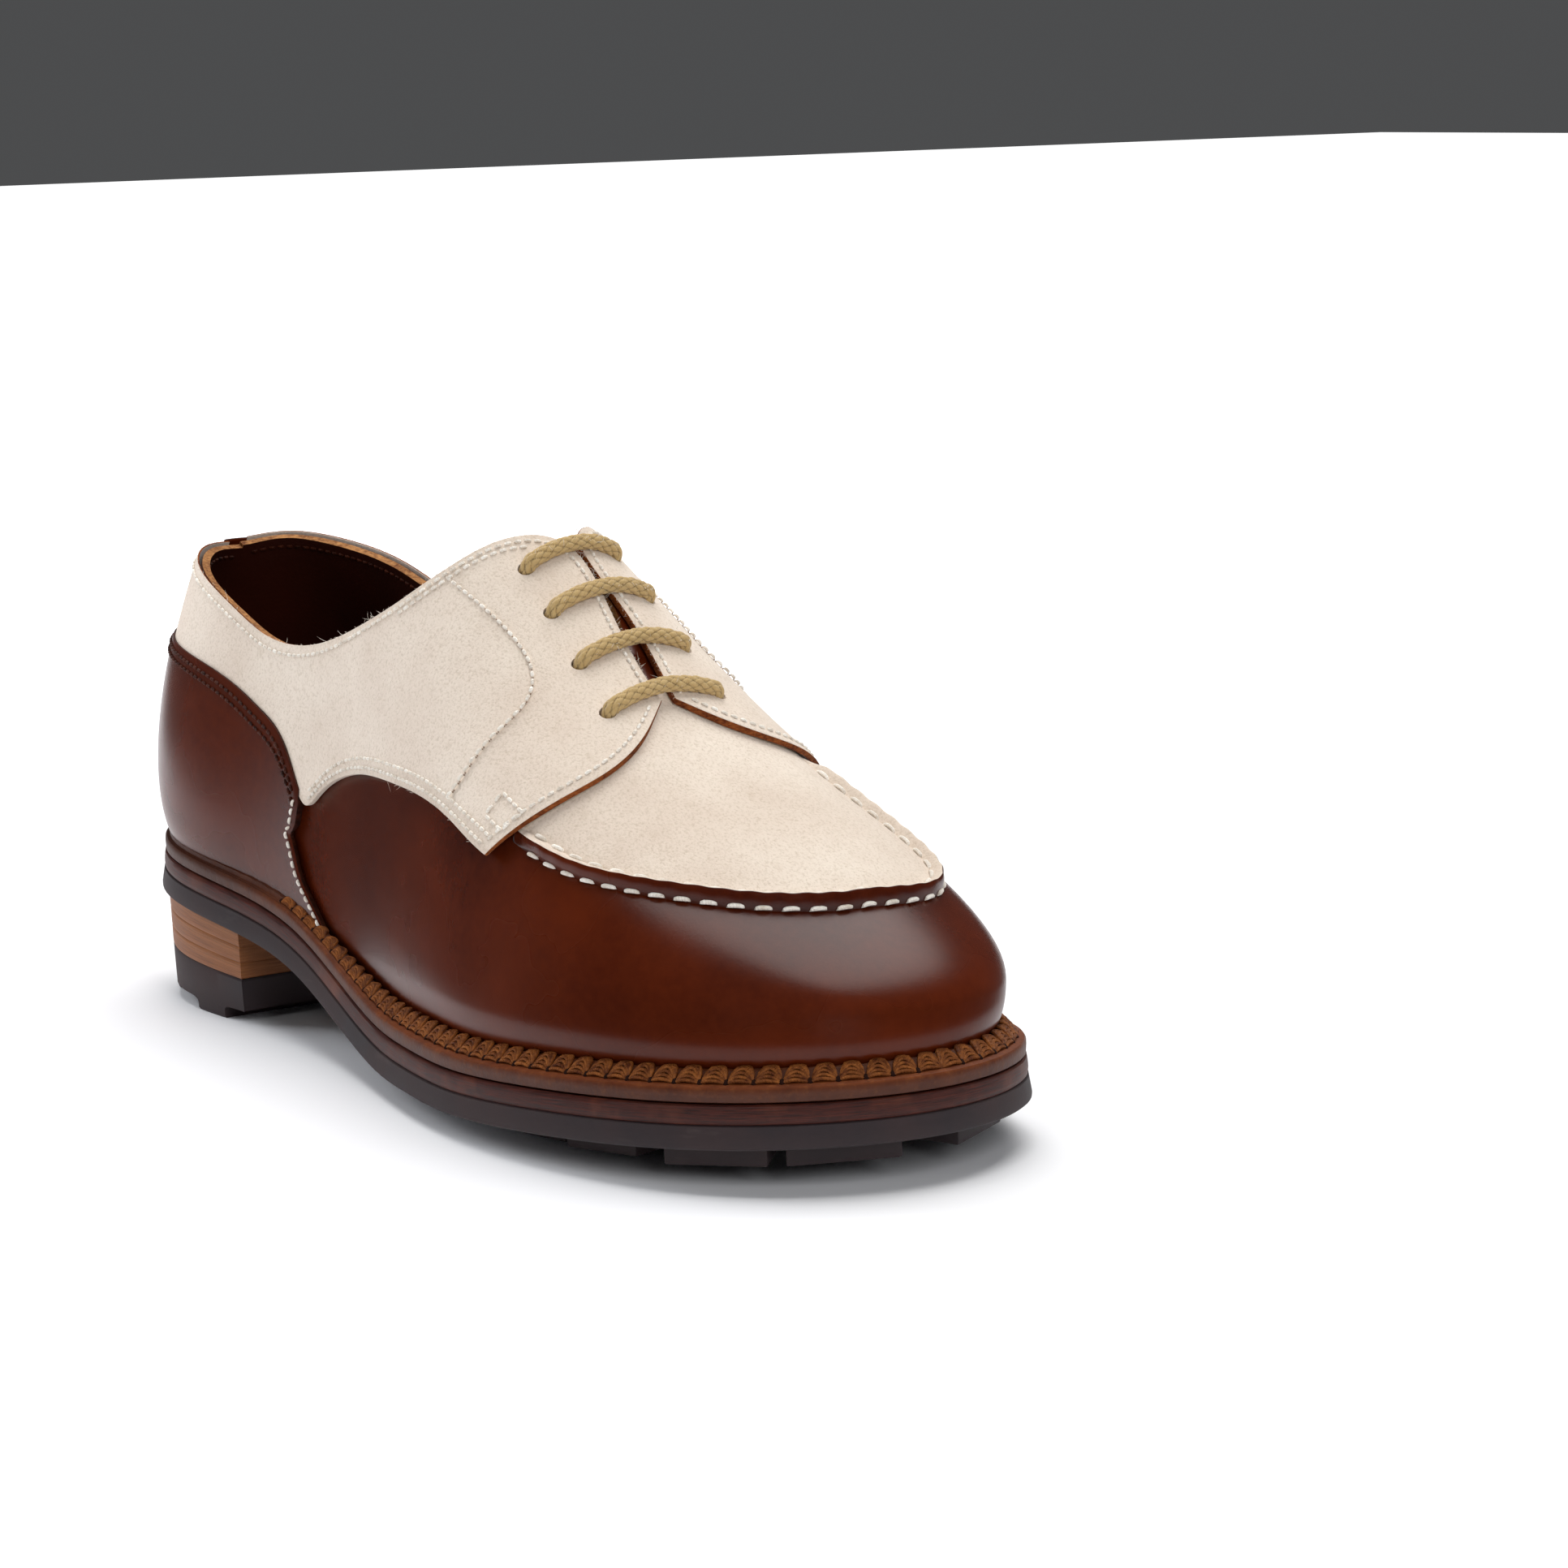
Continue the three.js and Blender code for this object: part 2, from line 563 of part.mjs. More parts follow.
// Counter: round the heel from one waist seam to the other, its top edge under the quarters
const SEAM_GAP = 0.008;
const COUNTER_DROP = 0.036;
const counterAlong = (s, up) => s * (seamAlong(up) - SEAM_GAP);
function counterTop(along) {
  let run = 0.22;
  for (let pass = 0; pass < 20; pass++) run += (along - footAlong(run)) * 0.6;
  return footUp(run) - COUNTER_DROP;
}
function heelCounter() {
  const side = (which) => {
    const grid = (offset) => steps(18).map((s) => {
      const top = counterTop(s * (seamAlong(1) - SEAM_GAP));
      return steps(7).map((r) => {
        const up = lerp(0.32, top, r);
        return skin(which, counterAlong(s, up), up, offset);
      });
    });
    return [grid(GAP), grid(GAP + COUNTER_THICK)];
  };
  const [lateralIn, lateralOut] = side(LATERAL);
  const [medialIn, medialOut] = side(MEDIAL);
  const round = (lateral, medial) => [...lateral.slice(1).reverse(), ...medial];
  return slab(round(lateralIn, medialIn), round(lateralOut, medialOut));
}

// Narrow strip up the centre back, above the counter
function backStrip() {
  const grid = (offset) => steps(4).map((s) => {
    const place = lerp(-STRIP_ALONG, STRIP_ALONG, s);
    const side = place < 0 ? LATERAL : MEDIAL;
    const along = Math.abs(place) * 0.82;
    return steps(4).map((r) => skin(side, along, lerp(footUp(0) + SEAM_GAP, collarUp(side, 0), r), offset));
  });
  return slab(grid(GAP), grid(GAP + PANEL_THICK * 1.2));
}

// Apron on the forepart, and the raised seam that stands round it
function apronRear(up) {
  return up > QUARTER_FRONT.up.at(-1) ? QUARTER_FRONT.along.at(-1) : frontAlong(up);
}
function apron() {
  const half = (side, offset) => steps(13).map((s) => {
    const corner = apronUp(side, APRON_EDGE.along[0]);
    const edge = apronUp(side, lerp(apronRear(corner) + SEAM_GAP, 1, s)) + SEAM_GAP * 1.2;
    return steps(6).map((r) => {
      const rear = apronRear(lerp(2, corner, r)) + SEAM_GAP;
      return skin(side, lerp(rear, 1, s), lerp(2, edge, r), offset);
    });
  });
  return body([LATERAL, MEDIAL].flatMap((side) => {
    const outer = half(side, GAP + PANEL_THICK);
    const inner = half(side, GAP);
    const last = (rows) => rows.map((row) => row.at(-1));
    return mirrored(side, [
      ...sheet(outer),
      ...turned(sheet(inner)),
      ...sheet([inner[0], outer[0]]),
      ...sheet([last(inner), last(outer)]),
    ]);
  }));
}
function seamStart(side) {
  const up = apronUp(side, APRON_EDGE.along[0]);
  return Math.max(apronRear(up), apronRear(up - SEAM_WIDTH)) + SEAM_GAP * 1.5;
}
function apronSeam() {
  const grid = (offset) => steps(32).map((s) => {
    const place = lerp(-1, 1, s);
    const side = place < 0 ? LATERAL : MEDIAL;
    const along = lerp(1, seamStart(side), Math.abs(place));
    return steps(2).map((r) => skin(side, along, apronUp(side, along) - SEAM_WIDTH * (1 - r), offset));
  });
  return slab(grid(GAP), grid(GAP + SEAM_THICK));
}

// Tongue: under the slit, inside the upper
function tongue() {
  const grid = (offset) => steps(8).map((s) => steps(6).map((r) => {
    const up = lerp(TONGUE.up, 4 - TONGUE.up, r);
    return skin(LATERAL, lerp(TONGUE.from, TONGUE.to, s), up, offset);
  }));
  const top = -UPPER_WALL - 4 * GAP;
  return slab(grid(top - TONGUE_THICK), grid(top));
}

// Lace bar: straight across between a pair of eyelets, resting on the facings
function laceBar(along) {
  const rise = PANEL_THICK + 1.3 * GAP + LACE_DIAMETER / 2;
  const span = 2 - EYELETS.up;
  const points = steps(8).map((s) => skin(LATERAL, along, 2 + lerp(-span, span, s), rise));
  const path = new THREE.CatmullRomCurve3(points);
  const section = new THREE.Shape().absarc(0, 0, LACE_DIAMETER / 2, 0, 2 * Math.PI);
  return new THREE.ExtrudeGeometry(section, { steps: 8, curveSegments: 3, bevelEnabled: false, extrudePath: path });
}

const COLOURS = {
  chestnut: { color: 0x5b2a12, roughness: 0.38 },
  suede: { color: 0xe9dccb, roughness: 0.95 },
  lining: { color: 0x3d1a0e, roughness: 0.7 },
  welt: { color: 0x9a5628, roughness: 0.6 },
  edge: { color: 0x54271a, roughness: 0.5 },
  rubber: { color: 0x372b29, roughness: 0.75 },
  stack: { color: 0xa4714a, roughness: 0.55 },
  cord: { color: 0xb59a6b, roughness: 0.9 },
};

const shoe = new THREE.Group();
function add(name, colour, geometry) {
  const mesh = new THREE.Mesh(geometry, new THREE.MeshStandardMaterial({ ...COLOURS[colour], metalness: 0 }));
  mesh.name = name;
  shoe.add(mesh);
}

add('outsole', 'rubber', outsole());
add('midsole', 'edge', midsole());
add('welt', 'welt', welt());
add('top_lift', 'rubber', topLift());
for (let level = 0; level < LIFTS; level++) add(`heel_lift_${level + 1}`, 'stack', heelLift(level));
add('insole', 'lining', insole());
add('upper', 'chestnut', upper());
add('quarter_lateral', 'suede', quarter(LATERAL));
add('quarter_medial', 'suede', quarter(MEDIAL));
add('heel_counter', 'chestnut', heelCounter());
add('back_strip', 'chestnut', backStrip());
add('apron', 'suede', apron());
add('apron_seam', 'chestnut', apronSeam());
add('tongue', 'suede', tongue());
EYELETS.along.forEach((along, i) => add(`lace_bar_${i + 1}`, 'cord', laceBar(along)));

// The origin lies on the floor, under the middle of the shoe
const reach = new THREE.Box3().setFromObject(shoe);
const middle = reach.getCenter(new THREE.Vector3());
shoe.position.set(-middle.x, -middle.y, -reach.min.z);

export default shoe;
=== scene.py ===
"""Dressing of a derby shoe with a raised apron: a right shoe, standing empty on its sole."""
import math

import bpy
import numpy as np
from mathutils import Matrix, Vector


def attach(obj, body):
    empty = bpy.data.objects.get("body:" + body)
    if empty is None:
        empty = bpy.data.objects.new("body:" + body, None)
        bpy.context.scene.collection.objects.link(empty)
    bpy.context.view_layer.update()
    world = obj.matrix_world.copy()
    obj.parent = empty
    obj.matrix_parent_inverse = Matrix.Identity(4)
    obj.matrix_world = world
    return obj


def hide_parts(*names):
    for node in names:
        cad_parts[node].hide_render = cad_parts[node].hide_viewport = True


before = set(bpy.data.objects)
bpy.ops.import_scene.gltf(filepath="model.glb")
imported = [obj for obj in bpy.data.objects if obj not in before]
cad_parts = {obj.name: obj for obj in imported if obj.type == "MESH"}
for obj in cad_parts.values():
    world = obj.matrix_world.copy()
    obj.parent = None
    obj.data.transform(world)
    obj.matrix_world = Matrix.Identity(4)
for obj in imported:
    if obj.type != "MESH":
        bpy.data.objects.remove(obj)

bl_info = {
    "name": "Derby shoe",
    "version": (1, 0, 0),
    "blender": (4, 5, 0),
    "location": "3D View > Sidebar > Shoe",
    "description": "Builds the leather, suede, thread and laces of a derby shoe over its packed solids",
    "category": "Object",
}

MM = 0.001
LATERAL, MEDIAL = -1, 1
VIEW_TURN = math.radians(54.1)
VIEW_TILT = math.radians(9.67)
VIEW_ROLL = math.radians(-1.22)
VIEW_DISTANCE = 1011
VIEW_TARGET = (143.0, 0, 51.5)
VIEW_SHIFT = (60.4, 14.8)
PHOTO_WIDTH = 1932
FOCAL_PIXELS = 5317
SENSOR_WIDTH = 36

# The shoe's own measures in millimetres, from heel to toe before it is centred
ORIGIN = np.array([144.5, 1.068, 0.0])
LAST_LENGTH = 285
BALL_WIDTH = 91
SIDE_BULGE = 6
BULGE_HEIGHT = 30
INSTEP_HEIGHT = 124
TOE_HEIGHT = 66
INSTEP_SWING = 7
WELT_MARGIN = 8
WELT_THICK = 3.5
WELT_BEAD = 2.9
MIDSOLE_THICK = 4
OUTSOLE_THICK = 5
LUG_HEIGHT = 5
LUG_WIDTH = 15
LUG_INSET = 3
TOE_SPRING = 5.5
HEEL_HEIGHT = 29.8
HEEL_LENGTH = 68
HEEL_INSET = 0.3
HEEL_TAPER = 0.7
TOP_LIFT_BACK = 14.5
TOP_LIFT_BREAST = 11.3
NOTCH_HEIGHT = 3.2
LIFTS = 3
UPPER_WALL = 2
GAP = 0.45
SEAM_WIDTH = 0.05
RIDGE_BAND = 1.96
THROAT = 0.60
STRIP_ALONG = 0.0213

# Half sections from heel to toe; x is a share of the length, y of the ball's width
SECTIONS = {
    "spine": [0.102, 0.109, 0.235, 0.372, 0.517, 0.663, 0.786, 0.846, 0.860],
    "bulge": [0.45, 0.48, 0.25, 0.15, 0.50, 0.75, 0.78, 0.66, 0.60],
    "rise": [0.56, 0.56, 0.62, 0.70, 0.63, 0.53, 0.47, 0.43, 0.43],
    "shoulder": [0.40, 0.43, 0.62, 0.68, 0.60, 0.60, 0.62, 0.62, 0.62],
    "crown": [0.02, 0.10, 0.28, 0.35, 0.50, 0.55, 0.62, 0.66, 0.66],
}
LATERAL_FOOT = {
    "x": [0, 0.084, 0.232, 0.372, 0.519, 0.677, 0.828, 0.947, 1.000],
    "y": [0, -0.297, -0.319, -0.330, -0.407, -0.495, -0.462, -0.286, 0.077],
    "welt": [0.50, 0.50, 0.56, 0.62, 0.88, 1.00, 1.00, 1.00, 1.00],
}
MEDIAL_FOOT = {
    "x": [0, 0.084, 0.232, 0.372, 0.512, 0.663, 0.811, 0.944, 1.000],
    "y": [0, 0.275, 0.280, 0.297, 0.396, 0.505, 0.516, 0.407, 0.077],
    "welt": [0.50, 0.50, 0.56, 0.56, 0.75, 1.00, 1.00, 1.00, 1.00],
}
SOLE_LINE = {
    "x": [-0.03, 0.10, 0.225, 0.312, 0.382, 0.456, 0.520, 0.590, 0.660, 0.758, 0.835, 0.905, 0.968, 1.032],
    "heel": [1.010, 0.885, 0.735, 0.545, 0.300, 0.095, 0.004, 0, 0, 0, 0, 0, 0, 0],
    "spring": [0, 0, 0, 0, 0, 0, 0, 0, 0.035, 0.29, 0.52, 0.72, 0.88, 1.00],
}
LUGS = {
    "from": [0.470, 0.530, 0.590, 0.650, 0.710, 0.808, 0.896],
    "to": [0.518, 0.578, 0.638, 0.698, 0.775, 0.884, 0.976],
    "inset": [4.5, 4.5, 4.5, 4.2, 3.2, 1.8, 1.8],
    "middle": [1, 1, 1, 1, 1, 1, 1],
}
NOTCHES = {"from": [0.28, 0.86], "to": [0.66, 1.01]}
RIDGE = {
    "x": [0.102, 0.290, 0.430, 0.502, 0.572, 0.635, 0.698, 0.765, 0.818, 0.860],
    "rise": [1.435, 1.470, 1.388, 1.165, 0.904, 0.652, 0.426, 0.226, 0.096, 0],
    "swing": [0, 0.15, 0.50, 0.70, 0.80, 0.65, 0.25, 0.40, 0.80, 1.00],
}
COLLAR_EDGE = {
    "run": [0, 0.10, 0.20, 0.28, 0.36, 0.44, 0.52, 0.60, 0.66, 0.71, 0.77, 0.86, 1.00],
    "along": [0, 0.105, 0.211, 0.268, 0.328, 0.390, 0.443, 0.479, 0.498, 0.512, 0.530, 0.580, 0.658],
    "lateral": [1.448, 1.448, 1.331, 1.262, 1.253, 1.311, 1.423, 1.570, 1.705, 1.850, 1.974, 1.980, 1.980],
    "medial": [1.448, 1.474, 1.385, 1.315, 1.300, 1.350, 1.455, 1.595, 1.720, 1.855, 1.974, 1.980, 1.980],
}
QUARTER_FOOT = {
    "run": [0, 0.10, 0.20, 0.28, 0.36, 0.41, 0.46, 0.55, 0.66, 0.78, 0.88, 1.00],
    "along": [0, 0.110, 0.214, 0.265, 0.307, 0.333, 0.360, 0.427, 0.505, 0.574, 0.610, 0.643],
    "up": [1.290, 1.272, 1.195, 1.142, 1.090, 1.040, 1.065, 1.145, 1.227, 1.287, 1.302, 1.307],
}
QUARTER_FRONT = {
    "up": [1.307, 1.443, 1.570, 1.734, 1.898, 1.980],
    "along": [0.643, 0.663, 0.678, 0.688, 0.675, 0.658],
}
WAIST_SEAM = {
    "up": [0, 0.25, 0.45, 0.66, 0.86, 1.00, 1.04],
    "along": [0.372, 0.352, 0.334, 0.324, 0.318, 0.321, 0.330],
}
APRON_EDGE = {
    "along": [0.660, 0.719, 0.765, 0.809, 0.860, 0.917, 0.965, 1.000],
    "lateral": [1.430, 1.459, 1.515, 1.585, 1.660, 1.728, 1.758, 1.768],
    "medial": [1.600, 1.580, 1.555, 1.540, 1.585, 1.690, 1.750, 1.768],
}
FACING_ROW = {
    "along": [0.491, 0.534, 0.568, 0.593, 0.605, 0.598, 0.590, 0.583],
    "up": [1.610, 1.662, 1.694, 1.690, 1.622, 1.495, 1.383, 1.325],
}
EYELET_ALONG = [0.534, 0.568, 0.608, 0.650]
EYELET_UP = 1.82
TONGUE = {"from": 0.515, "to": 0.685, "up": 1.72}

# Cross section of the raised seam: share across it, height above the last
SEAM_SHARE = [0.00, 0.08, 0.22, 0.40, 0.56, 0.68, 0.80, 0.92, 1.06, 1.22]
SEAM_RISE = [-0.3, 0.7, 1.9, 2.9, 3.4, 3.5, 3.2, 2.4, 1.3, 0.5]
SEAM_TOP = 0.66


# Curves and the surface of the last


def curve(xs, ys):
    """Natural cubic curve through rows, straight beyond its ends."""
    xs, ys = np.asarray(xs, float), np.asarray(ys, float)
    count = len(xs)
    gap = np.diff(xs)
    chord = np.diff(ys) / gap
    system = np.eye(count)
    bend = np.zeros(count)
    for i in range(1, count - 1):
        system[i, i - 1:i + 2] = gap[i - 1], 2 * (gap[i - 1] + gap[i]), gap[i]
        bend[i] = 6 * (chord[i] - chord[i - 1])
    second = np.linalg.solve(system, bend)
    start = chord[0] - gap[0] * (2 * second[0] + second[1]) / 6
    end = chord[-1] + gap[-1] * (second[-2] + 2 * second[-1]) / 6

    def at(x):
        x = np.asarray(x, float)
        inside = np.clip(x, xs[0], xs[-1])
        i = np.clip(np.searchsorted(xs, inside, side="right") - 1, 0, count - 2)
        p = (xs[i + 1] - inside) / gap[i]
        q = 1 - p
        cubic = (p ** 3 - p) * second[i] + (q ** 3 - q) * second[i + 1]
        value = p * ys[i] + q * ys[i + 1] + cubic * gap[i] ** 2 / 6
        return value + np.minimum(x - xs[0], 0) * start + np.maximum(x - xs[-1], 0) * end

    return at


def loop(rows):
    """Smooth closed curve through rows, once round the shoe: heel, lateral side, toe, medial side."""
    rows = np.asarray(rows, float)
    controls = rows.copy()
    for _ in range(40):
        controls = (6 * rows - np.roll(controls, 1) - np.roll(controls, -1)) / 4
    count = len(rows)

    def at(u):
        u = np.asarray(u, float) % count
        i = np.floor(u).astype(int)
        t = u - i
        weights = [(1 - t) ** 3, 3 * t ** 3 - 6 * t ** 2 + 4, -3 * t ** 3 + 3 * t ** 2 + 3 * t + 1, t ** 3]
        return sum(w * controls[(i + k - 1) % count] for k, w in enumerate(weights)) / 6

    return at


def both_sides(lateral, medial=None, size=1.0):
    """One closed curve from the rows of the two sides."""
    medial = lateral if medial is None else medial
    return loop(np.array(list(lateral) + list(medial[1:-1])[::-1]) * size)


LAST_ROW = len(SECTIONS["spine"]) - 1
foot_x = both_sides(LATERAL_FOOT["x"], MEDIAL_FOOT["x"], LAST_LENGTH)
foot_y = both_sides(LATERAL_FOOT["y"], MEDIAL_FOOT["y"], BALL_WIDTH)
welt_share = both_sides(LATERAL_FOOT["welt"], MEDIAL_FOOT["welt"])
spine_x = both_sides(SECTIONS["spine"], size=LAST_LENGTH)
bulge_out = both_sides(SECTIONS["bulge"], size=SIDE_BULGE)
bulge_rise = both_sides(SECTIONS["rise"], size=BULGE_HEIGHT)
shoulder = both_sides(SECTIONS["shoulder"])
crown = both_sides(SECTIONS["crown"])
heel_line = curve(np.array(SOLE_LINE["x"]) * LAST_LENGTH, SOLE_LINE["heel"])
spring_line = curve(np.array(SOLE_LINE["x"]) * LAST_LENGTH, SOLE_LINE["spring"])
ridge_rise = curve(np.array(RIDGE["x"]) * LAST_LENGTH, RIDGE["rise"])
ridge_swing = curve(np.array(RIDGE["x"]) * LAST_LENGTH, np.array(RIDGE["swing"]) * INSTEP_SWING)
collar_along = curve(COLLAR_EDGE["run"], COLLAR_EDGE["along"])
collar_ups = {
    LATERAL: curve(COLLAR_EDGE["run"], COLLAR_EDGE["lateral"]),
    MEDIAL: curve(COLLAR_EDGE["run"], COLLAR_EDGE["medial"]),
}


def collar_up(side, run):
    """Height of the collar's edge, level across the back."""
    return collar_ups[side](np.hypot(run, 0.03))


foot_along = curve(QUARTER_FOOT["run"], QUARTER_FOOT["along"])
foot_up = curve(QUARTER_FOOT["run"], QUARTER_FOOT["up"])
front_along = curve(QUARTER_FRONT["up"], QUARTER_FRONT["along"])
seam_along = curve(WAIST_SEAM["up"], WAIST_SEAM["along"])
apron_ups = {
    LATERAL: curve(APRON_EDGE["along"], APRON_EDGE["lateral"]),
    MEDIAL: curve(APRON_EDGE["along"], APRON_EDGE["medial"]),
}


def rubber_bottom(x):
    return LUG_HEIGHT + (HEEL_HEIGHT - LUG_HEIGHT) * heel_line(x) + TOE_SPRING * spring_line(x)


def rubber_top(x):
    return rubber_bottom(x) + OUTSOLE_THICK


def midsole_top(x):
    return rubber_top(x) + GAP + MIDSOLE_THICK


def welt_bottom(x):
    return midsole_top(x) + GAP


def welt_top(x):
    return welt_bottom(x) + WELT_THICK


def ridge_z(x):
    return TOE_HEIGHT + (INSTEP_HEIGHT - TOE_HEIGHT) * ridge_rise(x)


def around(side, along):
    return np.where(side < 0, along, 2 - along) * LAST_ROW


def spread(*values):
    return [np.array(v, float) for v in np.broadcast_arrays(*values)]


def last_point(side, along, up):
    """Points of the last at places along and up a side; past the ridge or the ends they cross over."""
    side, along, up = spread(side, along, up)
    for over, mirror in ((up > 2, 4), (along < 0, 0), (along > 1, 2)):
        side = np.where(over, -side, side)
        if mirror == 4:
            up = np.where(over, mirror - up, up)
        else:
            along = np.where(over, mirror - along, along)
    u = around(side, along)
    foot = np.stack([foot_x(u), foot_y(u)], -1)
    spine = np.stack([spine_x(u), ridge_swing(spine_x(u))], -1)
    out = foot - spine
    reach = np.linalg.norm(out, axis=-1)
    out = out / reach[..., None]
    base, rise = welt_top(foot[..., 0]), bulge_rise(u)
    widest = reach + bulge_out(u)
    low = np.clip(up, 0, 1)
    high = np.clip(up - 1, 0, 1)
    low_out = (1 - low) ** 2 * reach + (1 - (1 - low) ** 2) * widest
    low_z = base + 0.7 * low * (1 - low) * rise + low ** 2 * rise
    narrow = (1 - high) ** 3 + 3 * (1 - high) ** 2 * high + 3 * (1 - high) * high ** 2 * crown(u)
    share = 3 * (1 - high) ** 2 * high * shoulder(u) + 3 * (1 - high) * high ** 2 + high ** 3
    distance = np.where(up <= 1, low_out, widest * narrow)
    plan = spine + out * distance[..., None]
    z = np.where(up <= 1, low_z, base + rise + (ridge_z(plan[..., 0]) - base - rise) * share)
    return np.concatenate([plan, z[..., None]], -1)


def unit(vectors):
    return vectors / np.maximum(np.linalg.norm(vectors, axis=-1, keepdims=True), 1e-9)


def last_normal(side, along, up):
    """Normals of the last; on the ridge the mean of both sides."""
    side, along, up = spread(side, along, up)

    def slope(height):
        step = 0.01
        forward = last_point(side, along + step, height) - last_point(side, along - step, height)
        upward = last_point(side, along, height + step) - last_point(side, along, np.maximum(height - step, 0))
        return unit(np.cross(forward, upward) * -side[..., None])

    share = np.clip((up - RIDGE_BAND) / (4 - 2 * RIDGE_BAND), 0, 1)[..., None]
    near, far = slope(np.minimum(up, RIDGE_BAND)), slope(np.maximum(up, 4 - RIDGE_BAND))
    return unit(near * (1 - share) + far * share)


def skin(side, along, up, offset=0.0):
    """Points above the last, moved out along its normals."""
    offset = np.asarray(offset, float)
    return last_point(side, along, up) + last_normal(side, along, up) * offset[..., None]


def outline(side, along, grow):
    """Plan points of the feather line grown outwards."""
    side, along, grow = spread(side, along, grow)
    u = around(side, along)
    step = 0.01
    tangent = unit(np.stack([foot_x(u + step) - foot_x(u - step), foot_y(u + step) - foot_y(u - step)], -1))
    return np.stack([foot_x(u) + tangent[..., 1] * grow, foot_y(u) - tangent[..., 0] * grow], -1)


def welt_out(side, along):
    return welt_share(around(side, along)) * WELT_MARGIN


def smooth(value, start, end):
    t = np.clip((value - start) / (end - start), 0, 1)
    return t * t * (3 - 2 * t)


def mix(a, b, share):
    return a + (b - a) * share


def steps(count):
    return np.linspace(0, 1, count + 1)


def eased(count):
    return (1 - np.cos(np.pi * steps(count))) / 2


# Making pieces


def deselect():
    bpy.ops.object.select_all(action="DESELECT")


def pick(piece):
    deselect()
    piece.select_set(True)
    bpy.context.view_layer.objects.active = piece


def grid_faces(rows, columns, wrap=False):
    """Four-sided faces over a grid of points, wrapped round its rows where asked."""
    i, j = np.meshgrid(np.arange(rows - (0 if wrap else 1)), np.arange(columns - 1), indexing="ij")
    here = i * columns + j
    there = ((i + 1) % rows) * columns + j
    return np.stack([here, there, there + 1, here + 1], -1).reshape(-1, 4)


class Form:
    """Grids of points gathered into one mesh, with a surface map and a shade value at each point."""

    def __init__(self):
        self.points, self.faces, self.maps, self.shades, self.finishes = [], [], [], [], []
        self.count = 0

    def grid(self, points, flip=False, wrap=False, place=None, shade=0.0, finish=0):
        rows, columns = points.shape[:2]
        faces = grid_faces(rows, columns, wrap)
        if flip:
            faces = faces[:, ::-1]
        if place is None:
            run = np.zeros((rows, columns))
            run[1:] = np.cumsum(np.linalg.norm(np.diff(points, axis=0), axis=-1), axis=0)
            rise = np.zeros((rows, columns))
            rise[:, 1:] = np.cumsum(np.linalg.norm(np.diff(points, axis=1), axis=-1), axis=1)
            place = np.stack([run, rise], -1) * MM
        self.points.append((points.reshape(-1, 3) - ORIGIN) * MM)
        self.faces.append(faces + self.count)
        self.maps.append(np.broadcast_to(place, (rows, columns, 2)).reshape(-1, 2))
        self.shades.append(np.broadcast_to(np.asarray(shade, float), (rows, columns)).reshape(-1))
        self.finishes.append(np.full(len(faces), finish))
        self.count += rows * columns

    def make(self, name, materials, merge=True, outward=False):
        """The finished object, with coincident points merged."""
        points = np.concatenate(self.points)
        faces = np.concatenate(self.faces)
        mesh = bpy.data.meshes.new(name)
        mesh.from_pydata(points.tolist(), [], faces.tolist())
        layer = mesh.uv_layers.new(name="surface")
        corners = faces.reshape(-1)
        layer.data.foreach_set("uv", np.concatenate(self.maps)[corners].reshape(-1))
        shade = mesh.attributes.new("shade", "FLOAT", "POINT")
        shade.data.foreach_set("value", np.concatenate(self.shades))
        mesh.polygons.foreach_set("material_index", np.concatenate(self.finishes).astype(np.int32))
        for material in materials:
            mesh.materials.append(material)
        mesh.update()
        piece = bpy.data.objects.new(name, mesh)
        bpy.context.scene.collection.objects.link(piece)
        pick(piece)
        if merge:
            bpy.ops.object.mode_set(mode="EDIT")
            bpy.ops.mesh.select_all(action="SELECT")
            bpy.ops.mesh.remove_doubles(threshold=2e-6)
            if outward:
                bpy.ops.mesh.normals_make_consistent(inside=False)
            bpy.ops.mesh.select_all(action="DESELECT")
            bpy.ops.object.mode_set(mode="OBJECT")
        bpy.ops.object.shade_smooth_by_angle(angle=math.radians(40))
        return piece


def modify(piece, kind, **settings):
    """Adds a modifier, sets it and applies it."""
    pick(piece)
    bpy.ops.object.modifier_add(type=kind)
    modifier = piece.modifiers[-1]
    for key, value in settings.items():
        setattr(modifier, key, value)
    bpy.ops.object.modifier_apply(modifier=modifier.name)


def thicken(piece, thick, rim=0, inner=0):
    modify(piece, "SOLIDIFY", thickness=thick * MM, offset=-1, use_even_offset=True,
           thickness_clamp=0.6, material_offset=inner, material_offset_rim=rim)


def round_edges(piece, width, segments=3, angle=50):
    modify(piece, "BEVEL", width=width * MM, segments=segments, limit_method="ANGLE",
           angle_limit=math.radians(angle), use_clamp_overlap=True)
    pick(piece)
    bpy.ops.object.shade_smooth_by_angle(angle=math.radians(45))


def settle(piece, slot, *nodes):
    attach(piece, "root")
    if nodes:
        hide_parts(*nodes)


def rim_ring(count, to=1.0):
    """Sides and places once round an outline, from the heel along the lateral side and back."""
    along = eased(count) * to
    sides = np.concatenate([np.full(count + 1, LATERAL), np.full(count, MEDIAL)])
    return sides, np.concatenate([along, along[:0:-1]])


